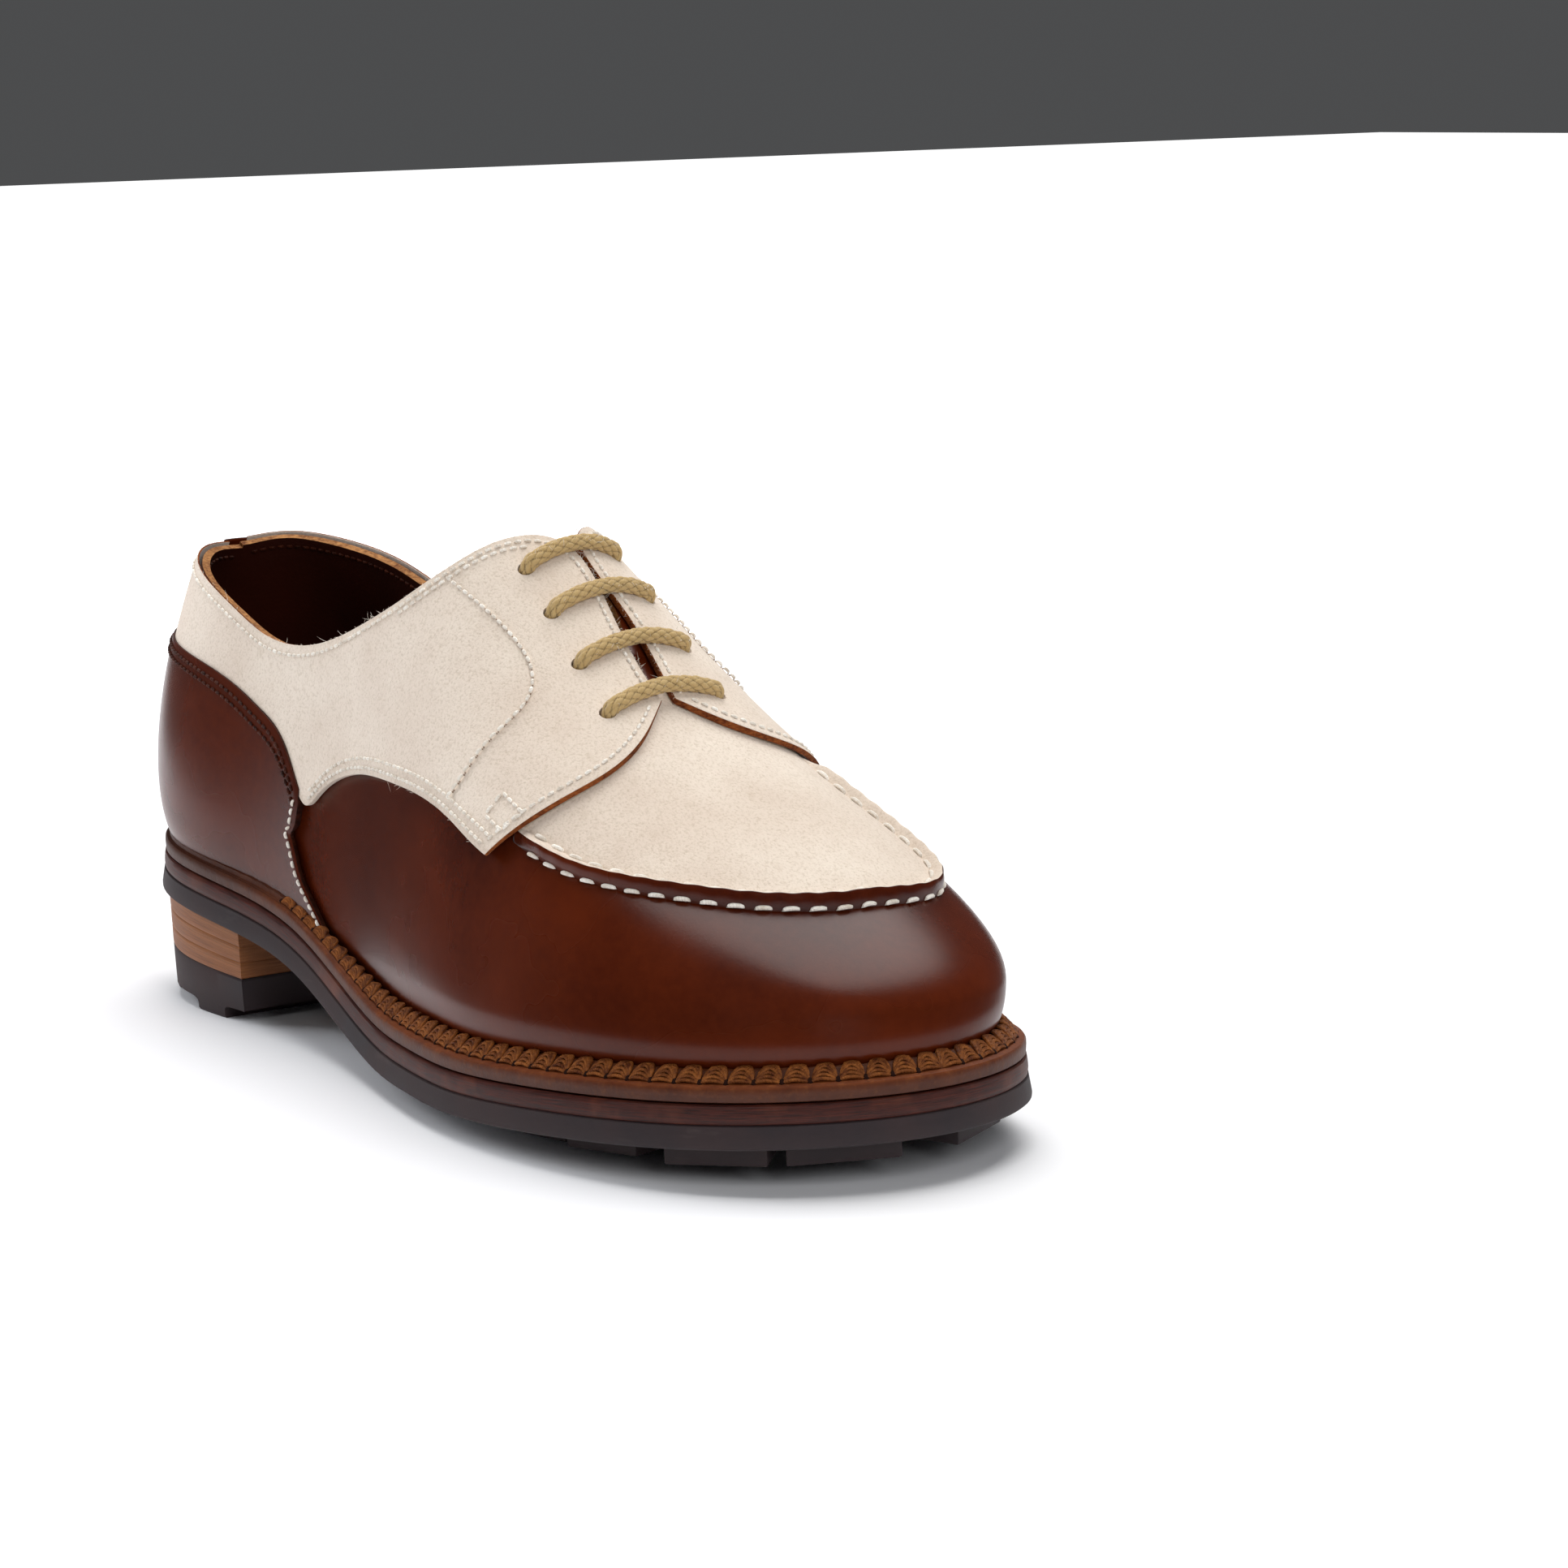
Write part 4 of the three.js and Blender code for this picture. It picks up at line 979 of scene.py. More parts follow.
class SHOE_OT_bottom(ShoeOperator, bpy.types.Operator):
    """Midsole, rubber outsole with its lugs, and insole"""

    bl_idname = "shoe.bottom"
    bl_label = "Sole"

    def rings(self, profile, height):
        """Rings of an edge: each row of the profile is (grown outwards, height share)."""
        sides, along = rim_ring(110)
        wide = welt_out(sides, along)
        rings = []
        for grow, share in profile:
            plan = outline(sides, along, wide + grow)
            rings.append(np.concatenate([plan, height(plan[:, 0], share)[:, None]], -1))
        return rings

    def build(self, finishes):
        def rubber(x, share):
            return rubber_bottom(x) + OUTSOLE_THICK * share + GAP * 0.6 * (share > 0.5)

        profile = [(-1.2, 0), (0.6, 0.0), (1.15, 0.08), (1.2, 0.2), (0.8, 0.6), (0.5, 0.94), (0.1, 1.0), (-1.5, 1.0)]
        form = layer_form(self.rings(profile, rubber), 8, rubber_bottom, lambda x: rubber(x, 1.0))
        plate = form.make("rubber_outsole", [finishes["rubber"]], outward=True)
        settle(plate, "rubber", "outsole")

        def board(x, share):
            return rubber_top(x) + GAP * 0.4 + (MIDSOLE_THICK + GAP * 0.9) * share

        profile = [(-1.5, 0), (-0.1, 0.0), (0.3, 0.1), (0.42, 0.35), (0.3, 0.7), (0.12, 0.92), (-0.3, 1.0), (-1.8, 1.0)]
        form = layer_form(self.rings(profile, board), 6, lambda x: board(x, 0), lambda x: board(x, 1))
        settle(form.make("midsole_edge", [finishes["edge"]], outward=True), "edge_leather", "midsole")

        sides, along = rim_ring(90)
        plan = outline(sides, along, -UPPER_WALL - 2 * GAP)
        tops = [welt_bottom(plan[:, 0]) + rise for rise in (0, 2.6, 3.0)]
        rings = [np.concatenate([plan, top[:, None]], -1) for top in tops]
        rings[-1][:, :2] = outline(sides, along, -UPPER_WALL - 2 * GAP - 0.6)
        form = layer_form(rings, 10, welt_bottom, lambda x: welt_bottom(x) + 3.0)
        settle(form.make("footbed", [finishes["lining"]], outward=True), "lining_leather", "insole")
        self.lugs(finishes["rubber"])

    def lugs(self, rubber):
        """Blocks of the tread, each a cube set to its corners and bevelled."""
        blocks = []
        for row, start in enumerate(LUGS["from"]):
            end = LUGS["to"][row]
            inset = LUGS["inset"][row] * LUG_INSET
            inner = inset + LUG_WIDTH
            for side in (LATERAL, MEDIAL):
                blocks.append([(side, start, inset), (side, end, inset), (side, end, inner), (side, start, inner)])
            if LUGS["middle"][row]:
                clear = inset + LUG_WIDTH + 1.5 * LUG_INSET
                blocks.append([(s, a, clear) for s, a in
                               ((LATERAL, start), (LATERAL, end), (MEDIAL, end), (MEDIAL, start))])
        pieces = []
        for block in blocks:
            plan = np.array([outline(s, a, welt_out(s, a) - inset) for s, a, inset in block])
            deselect()
            bpy.ops.mesh.primitive_cube_add(size=0.01)
            cube = bpy.context.object
            order = [(-1, -1), (1, -1), (1, 1), (-1, 1)]
            for vertex in cube.data.vertices:
                k = order.index((int(np.sign(vertex.co.x)), int(np.sign(vertex.co.y))))
                low = max(rubber_bottom(plan[k, 0]) - LUG_HEIGHT, 0)
                low = 0 if low < 0.3 else low
                z = rubber_bottom(plan[k, 0]) + 1.2 if vertex.co.z > 0 else low
                vertex.co = Vector((np.array([*plan[k], z]) - ORIGIN) * MM)
            bpy.ops.object.mode_set(mode="EDIT")
            bpy.ops.mesh.select_all(action="SELECT")
            bpy.ops.mesh.normals_make_consistent(inside=False)
            bpy.ops.mesh.bevel(offset=0.6 * MM, segments=2)
            bpy.ops.object.mode_set(mode="OBJECT")
            pieces.append(cube)
        deselect()
        for piece in pieces:
            piece.select_set(True)
        bpy.context.view_layer.objects.active = pieces[0]
        bpy.ops.object.join()
        tread = bpy.context.object
        tread.name = "tread_blocks"
        tread.data.materials.append(rubber)
        bpy.ops.object.shade_smooth_by_angle(angle=math.radians(30))
        settle(tread, "rubber")


def heel_x(share):
    return HEEL_LENGTH * share - LAST_LENGTH * 0.02


def top_lift_top(x):
    return mix(TOP_LIFT_BACK, TOP_LIFT_BREAST, (x - heel_x(0)) / HEEL_LENGTH)


def along_at(x):
    """Place along the lateral edge where the sole passes a given x."""
    places = np.linspace(0, 0.5, 400)
    return np.interp(x, outline(LATERAL, places, welt_out(LATERAL, places))[:, 0], places)


class SHOE_OT_heel(ShoeOperator, bpy.types.Operator):
    """Leather lifts and the notched rubber top lift"""

    bl_idname = "shoe.heel"
    bl_label = "Heel"

    def rings(self, low, high, profile):
        sides, along = rim_ring(60, along_at(heel_x(1)))
        breast = np.isclose(along, along.max())
        rings = []
        for inward, share in profile:
            grow = welt_out(sides, along) - HEEL_INSET - inward
            plan = outline(sides, along, grow)
            plan[breast, 0] = heel_x(1) - max(inward - 0.4, 0)
            rings.append(np.concatenate([plan, mix(low(plan[:, 0]), high(plan[:, 0]), share)[:, None]], -1))
        return rings

    def build(self, finishes):
        def level(k):
            return lambda x: mix(top_lift_top(x) + GAP * 0.2, rubber_bottom(x), k / LIFTS)

        for k in range(LIFTS):
            low, high = level(k), level(k + 1)
            lean = HEEL_TAPER * (1 - (k + 1) / (LIFTS + 1))
            profile = [(lean + 1.5, 0), (lean + 0.22, 0), (lean + 0.05, 0.07), (lean, 0.2), (lean - 0.1, 0.8),
                       (lean - 0.05, 0.94), (lean + 0.12, 1), (lean + 1.5, 1)]
            form = layer_form(self.rings(low, high, profile), 4, low, high)
            lift = form.make(f"leather_lift_{k + 1}", [finishes["stack"]], outward=True)
            settle(lift, "stack_leather", f"heel_lift_{k + 1}")

        profile = [(HEEL_TAPER + 2.4, 0), (HEEL_TAPER + 0.9, 0), (HEEL_TAPER + 0.5, 0.05), (HEEL_TAPER + 0.2, 0.5),
                   (HEEL_TAPER - 0.1, 0.95), (HEEL_TAPER + 0.2, 1), (HEEL_TAPER + 2, 1)]
        form = layer_form(self.rings(lambda x: 0 * x, top_lift_top, profile), 4, lambda x: 0 * x, top_lift_top)
        wedge = form.make("rubber_top_lift", [finishes["rubber"]], outward=True)
        for start, end in zip(NOTCHES["from"], NOTCHES["to"]):
            deselect()
            bpy.ops.mesh.primitive_cylinder_add(vertices=24, radius=1, depth=0.1, rotation=(math.pi / 2, 0, 0))
            cutter = bpy.context.object
            bpy.ops.object.transform_apply(location=False, rotation=True, scale=False)
            half = (end - start) * HEEL_LENGTH / 2
            centre = (np.array([heel_x(start) + half, 0, 0]) - ORIGIN) * MM
            for vertex in cutter.data.vertices:
                x, z = vertex.co.x, vertex.co.z
                vertex.co.x = centre[0] + math.copysign(abs(x) ** 0.35, x) * half * MM
                vertex.co.z = math.copysign(abs(z) ** 0.35, z) * NOTCH_HEIGHT * MM
            modify(wedge, "BOOLEAN", operation="DIFFERENCE", object=cutter, solver="EXACT")
            bpy.data.objects.remove(cutter)
        pick(wedge)
        bpy.ops.object.shade_smooth_by_angle(angle=math.radians(30))
        settle(wedge, "rubber", "top_lift")


class SHOE_OT_welt(ShoeOperator, bpy.types.Operator):
    """Welt with its thick gathered stitches"""

    bl_idname = "shoe.welt"
    bl_label = "Welt"

    def crest(self, wide):
        return 3.0 / WELT_MARGIN * wide + 0.6

    def build(self, finishes):
        sides, along = rim_ring(150)
        wide = welt_out(sides, along)
        crest = self.crest(wide)
        bead = WELT_BEAD * wide / WELT_MARGIN
        dips = 0.12 * np.sin(along * 310)
        # Rows of the section: grown outwards, height, shade value. The shade value paints shade in the crease against
        # the upper, under the stitch bead and on the underside, and darkens the outer face.
        profile = [
            (0 * wide + 0.3, 0 * wide, 0.0),
            (wide - 0.5, 0 * wide, 0.75),
            (wide - 0.05, 0 * wide + 0.25, 0.75),
            (wide + 0.05, 0 * wide + 0.5 * WELT_THICK, 0.62),
            (wide, 0 * wide + WELT_THICK - 0.7, 0.52),
            (wide - 0.35, 0 * wide + WELT_THICK - 0.15, 0.12),
            (wide - 0.9, 0 * wide + WELT_THICK, 0.0),
            (mix(crest, wide, 0.62), WELT_THICK + 0.05 * bead, 0.05),
            (mix(crest, wide, 0.38), WELT_THICK + 0.15 * bead, 0.55),
            (crest + 0.6, WELT_THICK + 0.75 * bead + dips, 0.75),
            (crest - 0.4, WELT_THICK + 1.0 * bead + dips, 0.6),
            (crest - 1.5 * wide / WELT_MARGIN, WELT_THICK + 0.95 * bead + dips, 0.7),
            (0 * wide + 0.5, WELT_THICK + 0.2 * bead, 1.0),
        ]
        heel_shade = 0.86 * (1 - smooth(along, 0.20, 0.40))
        rows, shades = [], []
        for grow, rise, shade in profile + profile[:1]:
            plan = outline(sides, along, grow)
            rows.append(np.concatenate([plan, (welt_bottom(plan[:, 0]) + rise)[:, None]], -1))
            shades.append(np.maximum(shade, heel_shade))
        form = Form()
        form.grid(np.stack(rows, 1), wrap=True, shade=np.stack(shades, 1))
        settle(form.make("welt_strip", [finishes["welt"]], outward=True), "welt_leather", "welt")
        self.stitches(finishes)

    def line(self, side, along, across, rise):
        """Points on the welt: across runs from the upper (0) to the welt's edge (1)."""
        wide = welt_out(side, along)
        plan = outline(side, along, across * wide)
        crest = self.crest(wide) / wide
        bead = WELT_BEAD * wide / WELT_MARGIN * np.clip(1 - (across - crest) / (0.62 * (1 - crest)), 0, 1)
        return np.concatenate([plan, (welt_top(plan[..., 0]) + bead + rise)[..., None]], -1)

    def stitches(self, finishes):
        """Fans of strands from hole to hole, packed side by side round the welt."""
        pitch = self.sizes.welt_pitch / MM
        fans, pits = [], []
        for side in (LATERAL, MEDIAL):
            places = np.linspace(0.30, 1.0, 900)
            edge = self.line(side, places, np.full(900, 0.55), 0.0)
            run = np.concatenate([[0], np.cumsum(np.linalg.norm(np.diff(edge, axis=0), axis=-1))])
            holes = np.interp(np.linspace(0, run[-1], int(run[-1] / pitch) + 1), run, places)
            for k in range(len(holes) - 1):
                t = np.linspace(0, 1, 9)
                full = smooth(holes[k], 0.30, 0.46)
                for strand in range(6):
                    deep = mix(0.72, 0.30, strand / 5)
                    bow = np.sin(np.pi * t) ** 0.8
                    skew = 0.16 * (strand - 2) / 4 * bow
                    where = mix(holes[k], holes[k + 1], t + skew)
                    across = mix(0.76, deep, bow)
                    rise = (0.02 + 0.30 * bow) * mix(0.4, 1, full)
                    fans.append(self.line(side, where, across, rise))
                # A dark rod at each hole: painted shade in the needle hole.
                hole = self.line(side, np.full(5, holes[k]), np.linspace(0.66, 0.82, 5), 0.12)
                pits.append(hole)
        fans = np.array(fans)
        cords = strands("welt_stitches", fans, 0.46, finishes["welt_thread"], 6, 0.9)
        settle(cords, "thread")
        settle(strands("welt_needle_hole_shade", np.array(pits), 0.62, finishes["pit"], 6, 0.6), "welt_leather")


def top_edge(side, run):
    closing = smooth(collar_along(run), THROAT - 0.03, THROAT)
    return mix(collar_up(side, run) - 0.004, 2, closing)


def eyelet_cutter():
    """Round rods through the facings, joined for cutting."""
    rods = []
    for side in (LATERAL, MEDIAL):
        for along in EYELET_ALONG:
            inside, outside = (skin(side, along, EYELET_UP, reach) for reach in (-7.0, 7.0))
            axis = Vector(outside - inside)
            deselect()
            bpy.ops.mesh.primitive_cylinder_add(vertices=20, radius=2.0 * MM, depth=axis.length * MM,
                                                location=Vector(((inside + outside) / 2 - ORIGIN) * MM),
                                                rotation=axis.to_track_quat("Z", "Y").to_euler())
            rods.append(bpy.context.object)
    deselect()
    for rod in rods:
        rod.select_set(True)
    bpy.context.view_layer.objects.active = rods[0]
    bpy.ops.object.join()
    bpy.ops.object.transform_apply(location=True, rotation=True, scale=True)
    return bpy.context.object


def pierce(piece):
    cutter = eyelet_cutter()
    modify(piece, "BOOLEAN", operation="DIFFERENCE", object=cutter, solver="EXACT")
    bpy.data.objects.remove(cutter)


class SHOE_OT_vamp(ShoeOperator, bpy.types.Operator):
    """The upper's leather body with its lining, open at the collar, down the slit and underneath"""

    bl_idname = "shoe.vamp"
    bl_label = "Vamp and lining"

    def build(self, finishes):
        form = Form()
        throat_run = 0.905
        back = steps(110) * throat_run
        start = collar_along(throat_run)
        for side in (LATERAL, MEDIAL):
            along = np.concatenate([collar_along(back), mix(start, 1, steps(90)[1:])])
            top = np.concatenate([top_edge(side, back), np.full(90, 2.0)])
            top[len(back) - 1] = 2.0
            up = top[:, None] * steps(44)[None]
            grid = skin(side, along[:, None], up, 0.0)
            skirt = outline(side, along, 0)
            foot = np.concatenate([skirt, welt_bottom(skirt[:, 0])[:, None]], -1)
            grid = np.concatenate([foot[:, None], grid], 1)
            # Painted shade: the leather darkens towards the welt.
            shade = 0.85 * (1 - smooth(np.concatenate([up[:, :1], up], 1), 0.02, 0.42)) ** 2
            form.grid(grid, flip=side == MEDIAL, shade=shade)
        vamp = form.make("vamp", [finishes["vamp"], finishes["lining"], finishes["tan_edge"]])
        thicken(vamp, UPPER_WALL, rim=2, inner=1)
        pierce(vamp)
        pick(vamp)
        bpy.ops.object.shade_smooth_by_angle(angle=math.radians(45))
        settle(vamp, "chestnut_leather", "upper")


def quarter_place(side, s, r):
    """Along and up on a quarter: s from the back strip to the front edge, r from its foot to the collar."""
    s, r = spread(s, r)
    run = mix(0.014, 1, s)
    ups, alongs = QUARTER_FRONT["up"], QUARTER_FRONT["along"]
    end = mix(ups[0], ups[-1], r)
    straight = mix(alongs[0], COLLAR_EDGE["along"][-1], r)
    bow = (front_along(end) - straight) * s ** 6
    along = mix(foot_along(run), collar_along(run), r) + bow
    return along, mix(foot_up(run), collar_up(side, run), r)


def quarter_lift(sizes, s, r):
    """Height of the quarter's face above the last."""
    front = smooth(s, 0.72, 1.0)
    return sizes.quarter_thick / MM + sizes.front_thick / MM * front + 0 * r


class SHOE_OT_quarters(ShoeOperator, bpy.types.Operator):
    """The two suede quarters with their cut edges"""

    bl_idname = "shoe.quarters"
    bl_label = "Quarters"

    def build(self, finishes):
        for side, name in ((LATERAL, "lateral"), (MEDIAL, "medial")):
            s, r = np.meshgrid(steps(190), steps(60), indexing="ij")
            along, up = quarter_place(side, s, r)
            points = skin(side, along, up, quarter_lift(self.sizes, s, r))
            shade = 0.25 * (1 - smooth(r, 0.0, 0.05)) + 0.2 * smooth(r, 0.965, 1)
            form = Form()
            form.grid(points, flip=side == MEDIAL, shade=shade)
            piece = form.make(f"quarter_{name}_suede", [finishes["suede"], finishes["brown_edge"]])
            thicken(piece, self.sizes.quarter_thick / MM + 0.9, rim=1)
            self.pale_foot(piece, side)
            round_edges(piece, self.sizes.edge_round / MM)
            pierce(piece)
            pick(piece)
            bpy.ops.object.shade_smooth_by_angle(angle=math.radians(45))
            settle(piece, "suede", f"quarter_{name}")

    def pale_foot(self, piece, side):
        """The foot of the quarter keeps the suede's colour on its cut edge."""
        s = np.linspace(0, 0.985, 300)
        along, up = quarter_place(side, s, 0 * s)
        foot = (skin(side, along, up, 1.0) - ORIGIN) * MM
        for face in piece.data.polygons:
            if face.material_index == 1:
                gap = np.linalg.norm(foot - np.array(face.center), axis=-1).min()
                if gap < 1.8 * MM:
                    face.material_index = 0


def counter_top(along):
    """Height of the counter's top edge at a place along."""
    runs = np.linspace(0, 0.6, 400)
    return np.interp(along, foot_along(runs), foot_up(runs)) + 0.004


class SHOE_OT_counter(ShoeOperator, bpy.types.Operator):
    """Leather counter round the heel and the narrow strip above it"""

    bl_idname = "shoe.counter"
    bl_label = "Counter"

    def build(self, finishes):
        thick = self.sizes.counter_thick / MM
        form = Form()
        for side in (LATERAL, MEDIAL):
            s, r = np.meshgrid(steps(90), steps(44), indexing="ij")
            limit = seam_along(1.02)
            top = counter_top(np.minimum(s * limit, 0.331))
            up = mix(0.0, 1, r) * top
            along = s * seam_along(np.minimum(up, 1.04))
            points = skin(side, along, up, thick - 0.3 * smooth(s, 0.985, 1))
            # Painted shade towards the welt; darker along the top edge.
            shade = 0.8 * (1 - smooth(up, 0.02, 0.40)) ** 2 + 0.25 * smooth(r, 0.95, 1)
            form.grid(points, flip=side == MEDIAL, shade=shade)
        piece = form.make("counter_leather", [finishes["chestnut"], finishes["dark_thread"]])
        thicken(piece, thick + 0.4, rim=1)
        round_edges(piece, self.sizes.edge_round / MM)
        settle(piece, "chestnut_leather", "heel_counter")

        places, r = np.meshgrid(np.linspace(-1, 1, 17), steps(40), indexing="ij")
        side = np.where(places < 0, LATERAL, MEDIAL)
        along = np.abs(places) * STRIP_ALONG
        up = mix(foot_up(0.0) - 0.03, collar_up(LATERAL, 0.0) + 0.004, r)
        points = skin(side, along, up, thick)
        form = Form()
        form.grid(points, flip=True, shade=0.2 * np.abs(places) ** 4)
        strip = form.make("back_strip_leather", [finishes["chestnut"], finishes["dark_thread"]])
        thicken(strip, thick + 0.4, rim=1)
        round_edges(strip, self.sizes.edge_round / MM)
        settle(strip, "chestnut_leather", "back_strip")


def seam_start(side):
    """Where the raised seam comes out from under the quarter."""
    return float(front_along(apron_ups[side](APRON_EDGE["along"][0]))) - 0.008


def apron_rear(up):
    return np.where(up > QUARTER_FRONT["up"][-1], QUARTER_FRONT["along"][-1], front_along(up))


class SHOE_OT_apron(ShoeOperator, bpy.types.Operator):
    """Suede apron and the raised seam round it, with its long stitches"""

    bl_idname = "shoe.apron"
    bl_label = "Apron"

    def build(self, finishes):
        thick = self.sizes.apron_thick / MM
        form = Form()
        for side in (LATERAL, MEDIAL):
            s, r = np.meshgrid(steps(80), steps(40), indexing="ij")
            corner = apron_ups[side](APRON_EDGE["along"][0])
            edge = apron_ups[side](mix(seam_start(side), 1, s)) - 0.01
            rear = apron_rear(mix(2, corner, r)) - 0.02
            along = mix(rear, 1, s)
            up = mix(2, edge, r)
            points = skin(side, along, up, thick)
            # Painted shade beside the raised seam and at the rear end under the quarters.
            form.grid(points, flip=side == LATERAL, shade=0.3 * smooth(r, 0.94, 1) + 0.35 * (1 - smooth(s, 0, 0.06)))
        piece = form.make("apron_suede", [finishes["suede"]])
        thicken(piece, thick + 0.3)
        settle(piece, "suede", "apron")
        self.raised_seam(finishes)

    def seam_point(self, side, along, share, rise):
        up = np.where(side < 0, apron_ups[LATERAL](along), apron_ups[MEDIAL](along))
        return skin(side, along, up - SEAM_WIDTH * (1 - share), rise)

    def raised_seam(self, finishes):
        """A ridge: leather on its outer face, suede on its inner face."""
        pitch = self.sizes.apron_pitch / MM
        places = np.linspace(-1, 1, 361)
        side = np.where(places < 0, LATERAL, MEDIAL)
        rear = np.where(places < 0, seam_start(LATERAL), seam_start(MEDIAL))
        along = mix(1, rear, np.abs(places))
        spine = self.seam_point(side, along, np.full(361, 0.5), np.full(361, 2.0))
        run = np.concatenate([[0], np.cumsum(np.linalg.norm(np.diff(spine, axis=0), axis=-1))])
        run = run - run[180]
        full = 0.25 + 0.75 * smooth(1 - np.abs(places), 0.0, 0.10)
        ripple = 1 - 0.07 * (0.5 + 0.5 * np.cos(2 * np.pi * run / pitch))
        share = curve(np.linspace(0, 1, len(SEAM_SHARE)), SEAM_SHARE)(steps(26))
        rise = curve(SEAM_SHARE, SEAM_RISE)(share)
        height = np.where(rise > 0.5, 0.5 + (rise - 0.5) * 1.0, rise)[None] * (full * ripple)[:, None]
        grid = self.seam_point(side[:, None], along[:, None], np.broadcast_to(share, (361, 27)), height)
        split = int(np.searchsorted(share, SEAM_TOP))
        form = Form()
        # Painted shade at the foot of the ridge's leather face, and darker towards the crest; the suede face is
        # darkened a little.
        dark = 0.45 * (1 - smooth(share[:split + 1], 0.0, 0.3)) + 0.25 * smooth(share[:split + 1], 0.5, 0.66)
        form.grid(grid[:, :split + 1], shade=np.broadcast_to(dark, (361, split + 1)))
        form.grid(grid[:, split:], shade=0.12, finish=1)
        piece = form.make("raised_seam", [finishes["chestnut"], finishes["suede"]])
        self.face_up(piece)
        modify(piece, "SOLIDIFY", thickness=0.5 * MM, offset=-1)
        settle(piece, "chestnut_leather", "apron_seam")

        total = run[-1] - run[0]
        count = int(total / pitch)
        paths, facings = [], []
        for outer in (True, False):
            for k in range(1, count - 1):
                middle = run[0] + (k + 0.5) * pitch
                span = pitch * 0.34 * np.linspace(-1, 1, 9)
                where = np.interp(middle + span, run, places)
                sides = np.where(where < 0, LATERAL, MEDIAL)
                alongs = np.interp(where, places, along)
                rise = 1 - np.abs(np.linspace(-1, 1, 9)) ** 4
                if outer:
                    shares, heights = np.full(9, 0.04) + 0.05 * np.linspace(-1, 1, 9), 0.15 + 0.75 * rise
                else:
                    shares, heights = np.full(9, 1.14) + 0.05 * np.linspace(-1, 1, 9), 0.45 + 0.95 * rise
                paths.append(self.seam_point(sides, alongs, shares, heights))
                facings.append(last_normal(sides, alongs, np.full(9, 1.6)))
        threads = strands("raised_seam_stitches", paths, self.sizes.apron_radius / MM, finishes["pale_thread"], 8, 0.9,
                          np.array(facings))
        settle(threads, "thread")

    def face_up(self, piece):
        """Turns the sheet over where its faces look into the shoe."""
        normals = np.array([face.normal for face in piece.data.polygons])
        if normals[:, 2].sum() < 0:
            pick(piece)
            bpy.ops.object.mode_set(mode="EDIT")
            bpy.ops.mesh.select_all(action="SELECT")
            bpy.ops.mesh.flip_normals()
            bpy.ops.object.mode_set(mode="OBJECT")


class SHOE_OT_tongue(ShoeOperator, bpy.types.Operator):
    """Tongue under the slit"""

    bl_idname = "shoe.tongue"
    bl_label = "Tongue"

    def build(self, finishes):
        s, r = np.meshgrid(steps(50), steps(40), indexing="ij")
        along = mix(TONGUE["from"], TONGUE["to"], s)
        up = mix(TONGUE["up"], 4 - TONGUE["up"], r)
        points = skin(LATERAL, along, up, -UPPER_WALL - 3 * GAP)
        form = Form()
        form.grid(points)
        piece = form.make("tongue_leather", [finishes["chestnut"], finishes["tan_edge"]])
        thicken(piece, 2.2, rim=1)
        round_edges(piece, 0.4)
        settle(piece, "chestnut_leather", "tongue")


